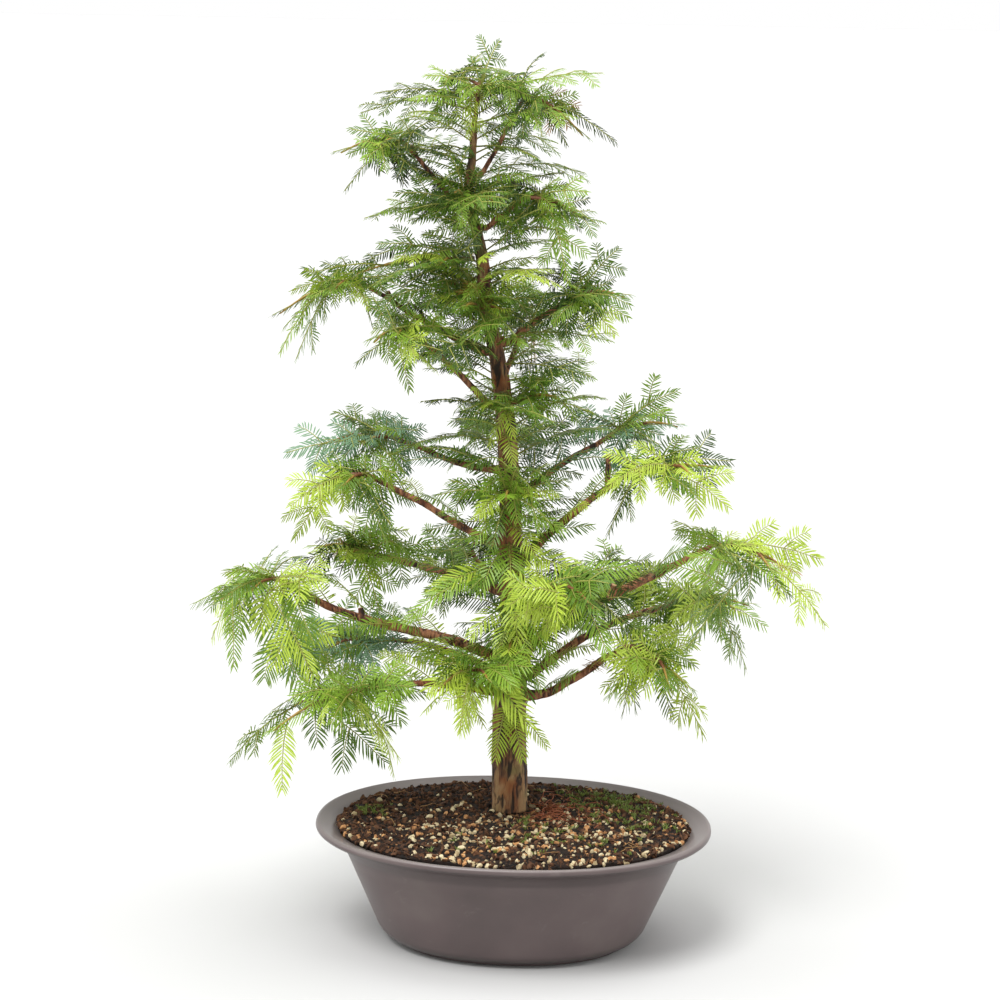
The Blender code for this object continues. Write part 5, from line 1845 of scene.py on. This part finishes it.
@dataclass
class SoilDressing:
    """Loose grains of the soil mix on the packed soil, with moss, root fibres and dry strands."""

    soil: Object
    tree: BVHTree
    half_length: float = 0.1805
    half_width: float = 0.1375
    count: int = 6800
    squareness: float = 2.15

    # Each kind's share of the grains, and their least and most size.
    KINDS = {
        Grain.BARK: (0.44, 0.0015, 0.0032),
        Grain.LOAM: (0.28, 0.0012, 0.0024),
        Grain.PUMICE: (0.155, 0.0016, 0.0048),
        Grain.CLAY: (0.125, 0.0015, 0.0044),
    }
    CHUNK, CHIP = (1.0, 0.75, 0.6), (1.25, 0.8, 0.32)  # shapes of a grain and of a chip of bark
    FEW_LARGE, CHIP_MOST = 1.6, 1.7
    PALE_RAISED, DARK_RAISED = (-0.35, 0.35), (-0.5, 0.30)  # of a grain's middle, in its own sizes
    PALE_MIDDLE, PALE_CHANCE, PALE_FADE, PALE_DRAWN = (0.035, -0.080), 1.25, 6.0, 0.75
    LUMPS, LUMP_NOISE, LUMP_SEED = 4, 0.32, 3
    EDGE_GRAINS, EDGE = 700, 0.965  # along the inside of the lip, from this share of the way out
    RIM_HEIGHT = 0.117
    TRUNK_ROOM = 1.12
    STRANDS, ROOT_FIBRES = 170, 110
    ROOT_SIDE, ROOT_FORWARD, ROOT_SPREAD = 0.030, 0.018, 0.022  # from the trunk's foot
    STRAND_LENGTH, STRAND_BEND, STRAND_LIFT, STRAND_ARC = (0.008, 0.022), 1.2, 0.0026, 0.003
    STRAND_RADII = (0.0005, 0.00045, 0.0004, 0.0002)
    BLADES, BLADE_LEAN, BLADE_TALL, TUFT_RADIUS = (5, 11), 0.0024, (0.002, 0.0046), 0.0012
    BLADE_RADII = (0.00035, 0.0004, 0.0001)
    TUFTS = (  # middle, spread and count of each patch of moss
        (0.112, 0.052, 0.034, 90),
        (0.132, 0.000, 0.026, 34),
        (0.070, 0.090, 0.026, 30),
        (0.030, -0.030, 0.018, 16),
        (0.080, -0.070, 0.030, 16),
        (-0.030, -0.085, 0.030, 12),
        (-0.150, 0.010, 0.012, 22),
    )

    def lumps(self) -> list[Arrays]:
        """Models the grain shapes and returns each one's corners and triangles."""
        shapes = []
        for number in range(self.LUMPS):
            deselect_all()
            bpy.ops.mesh.primitive_ico_sphere_add(subdivisions=1, radius=1.0)
            shake = {"offset": self.LUMP_NOISE, "seed": number + self.LUMP_SEED}
            lump = edit_whole(partial(bpy.ops.transform.vertex_random, **shake))
            corners = np.array([tuple(vertex.co) for vertex in lump.data.vertices])
            shapes.append((corners, np.array([tuple(face.vertices) for face in lump.data.polygons])))
            bpy.data.objects.remove(lump)
        return shapes

    def ground(self, x: float, y: float) -> float:
        """Returns the packed soil's height."""
        hit, _, _, _ = self.tree.ray_cast(Vector((x, y, 0.2)), -UP)
        return hit.z if hit else self.RIM_HEIGHT

    def inside(self, x: float, y: float, margin: float = 0.0) -> bool:
        """Returns whether a place lies on the soil and off the trunk."""
        share = abs(x / (self.half_length - margin)) ** self.squareness
        share += abs(y / (self.half_width - margin)) ** self.squareness
        foot = TRUNK_STEPS[0]
        return share < 1 and math.hypot(x - foot.side, y - foot.depth) > foot.radius * self.TRUNK_ROOM

    def anywhere(self, rng: np.random.Generator) -> tuple[float, float]:
        """Returns a place in the oblong round the soil."""
        x = rng.uniform(-self.half_length, self.half_length)
        return x, rng.uniform(-self.half_width, self.half_width)

    def grains(self, rng: np.random.Generator) -> Object:
        """Scatters the grains, bigger ones on top."""
        batch, shapes = Batch(), self.lumps()
        shares = [row[0] for row in self.KINDS.values()]
        placed = 0
        while placed < self.count:
            x, y = self.anywhere(rng)
            if placed < self.EDGE_GRAINS:
                turn, share = rng.uniform(0, 2 * np.pi), rng.uniform(self.EDGE, 1.0)
                x, y = self.half_length * share * math.cos(turn), self.half_width * share * math.sin(turn)
            if not self.inside(x, y):
                continue
            placed += 1
            # Pumice and clay show most at the front and the middle, and bark at the left.
            kind = Grain(rng.choice(len(shares), p=shares))
            pale = kind in (Grain.PUMICE, Grain.CLAY)
            away = math.hypot((x - self.PALE_MIDDLE[0]) * self.PALE_DRAWN, y - self.PALE_MIDDLE[1])
            if pale and rng.random() > self.PALE_CHANCE - self.PALE_FADE * away:
                kind = Grain.BARK
            _, least, most = self.KINDS[kind]
            size = blended(least, most, rng.random() ** self.FEW_LARGE)
            stretch = np.array(self.CHUNK)
            if kind is Grain.BARK:
                size *= rng.uniform(1.0, self.CHIP_MOST)
                stretch = np.array(self.CHIP)
            corners, faces = shapes[rng.integers(self.LUMPS)]
            turn = np.array(Quaternion(rng.normal(size=4)).normalized().to_matrix())
            raised = rng.uniform(*(self.PALE_RAISED if pale else self.DARK_RAISED))
            z = self.ground(x, y) + size * raised
            batch.add((corners * stretch * size) @ turn.T + (x, y, z), faces, kind.value)
        return settle(batch.piece("soil_grains", [GRAINS[kind].material() for kind in Grain]), "soil")

    def strands(self, rng: np.random.Generator) -> Object:
        """Lays fine root fibres near the trunk and dry strands about."""
        batch, foot = Batch(), TRUNK_STEPS[0]
        for k in range(self.STRANDS):
            near = k < self.ROOT_FIBRES
            if near:
                x = foot.side + self.ROOT_SIDE + rng.exponential(self.ROOT_SPREAD)
                y = foot.depth + rng.normal(0.0, self.ROOT_SPREAD) - self.ROOT_FORWARD
            else:
                x, y = self.anywhere(rng)
            if not self.inside(x, y, 0.012):
                continue
            turn, length = rng.uniform(0, 2 * np.pi), rng.uniform(*self.STRAND_LENGTH)
            bend = rng.uniform(-self.STRAND_BEND, self.STRAND_BEND)
            points = []
            for t in (0.0, 0.33, 0.67, 1.0):
                way = turn + bend * t
                px, py = x + math.cos(way) * length * t, y + math.sin(way) * length * t
                arc = self.STRAND_LIFT + self.STRAND_ARC * math.sin(math.pi * t) * rng.uniform(0.3, 1.2)
                points.append((px, py, self.ground(px, py) + arc))
            if self.inside(*points[-1][:2], 0.008):
                batch.add(*tube(np.array(points), self.STRAND_RADII, 3), 0 if near else 1)
        finishes = [ROOT_FIBRE.material(), DRY_STRAND.material()]
        return settle(batch.piece("soil_strands", finishes, True), "soil")

    def moss(self, rng: np.random.Generator) -> Object:
        """Sets tufts of moss by the rim."""
        batch = Batch()
        for cx, cy, spread, _ in (tuft for tuft in self.TUFTS for _ in range(tuft[3])):
            x, y = cx + rng.normal(0, spread), cy + rng.normal(0, spread * 0.7)
            if not self.inside(x, y, 0.003):
                continue
            z = self.ground(x, y) + 0.001
            for _ in range(rng.integers(*self.BLADES)):
                lean, tall = rng.normal(0, self.BLADE_LEAN, 2), rng.uniform(*self.BLADE_TALL)
                foot = np.array((x, y, z)) + np.append(rng.normal(0, self.TUFT_RADIUS, 2), 0)
                line = np.array([foot, foot + (*lean * 0.4, tall * 0.6), foot + (*lean, tall)])
                batch.add(*tube(line, self.BLADE_RADII, 3), 0)
        return settle(batch.piece("soil_moss", [MOSS.material()]), "soil")

    def build(self) -> list[Object]:
        """Dresses the soil."""
        self.soil.data.materials.clear()
        self.soil.data.materials.append(GRAINS[Grain.LOAM].material())
        rng = np.random.default_rng(SEED)
        return [self.grains(rng), self.strands(rng), self.moss(rng)]


# Stage


@dataclass
class Stage:
    """Pale floor, soft studio light and the camera."""

    target: Vector = field(default_factory=lambda: Vector((-0.01947, -0.00102, 0.4559)))
    distance: float = 2.6
    azimuth: float = 3.0
    elevation: float = 10.7
    roll: float = 1.0
    lens: float = 93.17
    sensor: float = 36.0
    floor_size: float = 400.0
    floor_height: float = -0.0005

    # Each sun's name, azimuth and elevation in degrees, power, and breadth in degrees.
    SUNS = (
        ("key", -122.0, 60.0, 2.2, 28.0),
        ("top", 60.0, 82.0, 1.5, 55.0),
        ("left", 178.0, 20.0, 0.60, 40.0),
        ("right", 2.0, 20.0, 0.75, 40.0),
    )
    SKY = ((0.02, "#ffffff"), (0.40, "#bdbdbd"), (1.0, "#d8d8d8"))  # from the horizon up

    def floor(self) -> None:
        """Lays a pale floor."""
        deselect_all()
        bpy.ops.mesh.primitive_plane_add(size=self.floor_size, location=(0, 0, self.floor_height))
        floor = bpy.context.object
        floor.name = "studio_floor"
        floor.data.materials.append(FLOOR.material())

    def lights(self) -> None:
        """Sets a bright world, and broad soft suns that light the far floor as evenly as the tree."""
        world = bpy.data.worlds.new("studio")
        world.use_nodes = True
        tree = world.node_tree
        place = add_node(tree, "TexCoord")
        height = add_node(tree, "SeparateXYZ", links={"Vector": (place, "Generated")})
        sky = add_node(tree, "ValToRGB", {"stops": self.SKY}, {"Fac": (height, "Z")})
        connect(tree, tree.nodes["Background"], {"Color": (sky, "Color")})
        bpy.context.scene.world = world
        bpy.context.scene.view_settings.view_transform = "Standard"
        for name, azimuth, elevation, power, breadth in self.SUNS:
            lamp = bpy.data.lights.new(name, "SUN")
            lamp.energy = power
            lamp.angle = math.radians(breadth)
            up = math.radians(elevation)
            way = heading(azimuth) * math.cos(up) + UP * math.sin(up)
            holder = link(name, lamp)
            holder.location = self.target + way * 3.0
            holder.rotation_euler = way.to_track_quat("Z", "Y").to_euler()

    def camera(self) -> None:
        """Sets the camera level with the crown, a little above, and turned slightly about its axis."""
        a, e, r = (math.radians(angle) for angle in (self.azimuth, self.elevation, self.roll))
        right = Vector((math.cos(a), math.sin(a), 0))
        forward = Vector((-math.sin(a) * math.cos(e), math.cos(a) * math.cos(e), -math.sin(e)))
        above = right.cross(forward)
        turned_right = math.cos(r) * right + math.sin(r) * above
        turned_up = math.cos(r) * above - math.sin(r) * right
        data = bpy.data.cameras.new("camera")
        data.lens = self.lens
        data.sensor_width = self.sensor
        data.clip_end = 1000.0
        camera = link("camera", data)
        matrix = Matrix((turned_right, turned_up, -forward)).transposed().to_4x4()
        matrix.translation = self.target - forward * self.distance
        camera.matrix_world = matrix
        bpy.context.scene.camera = camera

    def build(self) -> None:
        """Makes the floor, the lights and the camera."""
        self.floor()
        self.lights()
        self.camera()


def main(nodes: dict[str, Object]) -> None:
    """Builds every piece of the tree and its pot.

    Args:
        nodes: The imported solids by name.
    """
    logging.basicConfig(level=logging.INFO, format="%(name)s %(message)s")
    trunk, soil = tree_of_object(nodes["trunk"]), tree_of_object(nodes["soil"])
    rule, line = BoughRule(), TrunkLine(trunk)
    lines = {bough.name: rule.line(k, bough, line) for k, bough in enumerate(BOUGHS)}
    tips = {name: (points[-1], (points[-1] - points[-2]).normalized()) for name, points in lines.items()}
    limbs = [trunk, soil] + [tree_of_object(nodes["bough_" + bough.name]) for bough in BOUGHS]
    crown = Crown(line, limbs, tips)
    crown.grow()
    parts = (Pot(), SoilDressing(nodes["soil"], soil), Trunk(), Boughs(lines), Foliage(crown, lines))
    for part in parts:
        for piece in part.build():
            log.info("%s: %d faces", piece.name, len(piece.data.polygons))
    Stage().build()


if __name__ == "__main__":
    main(frame["nodes"])
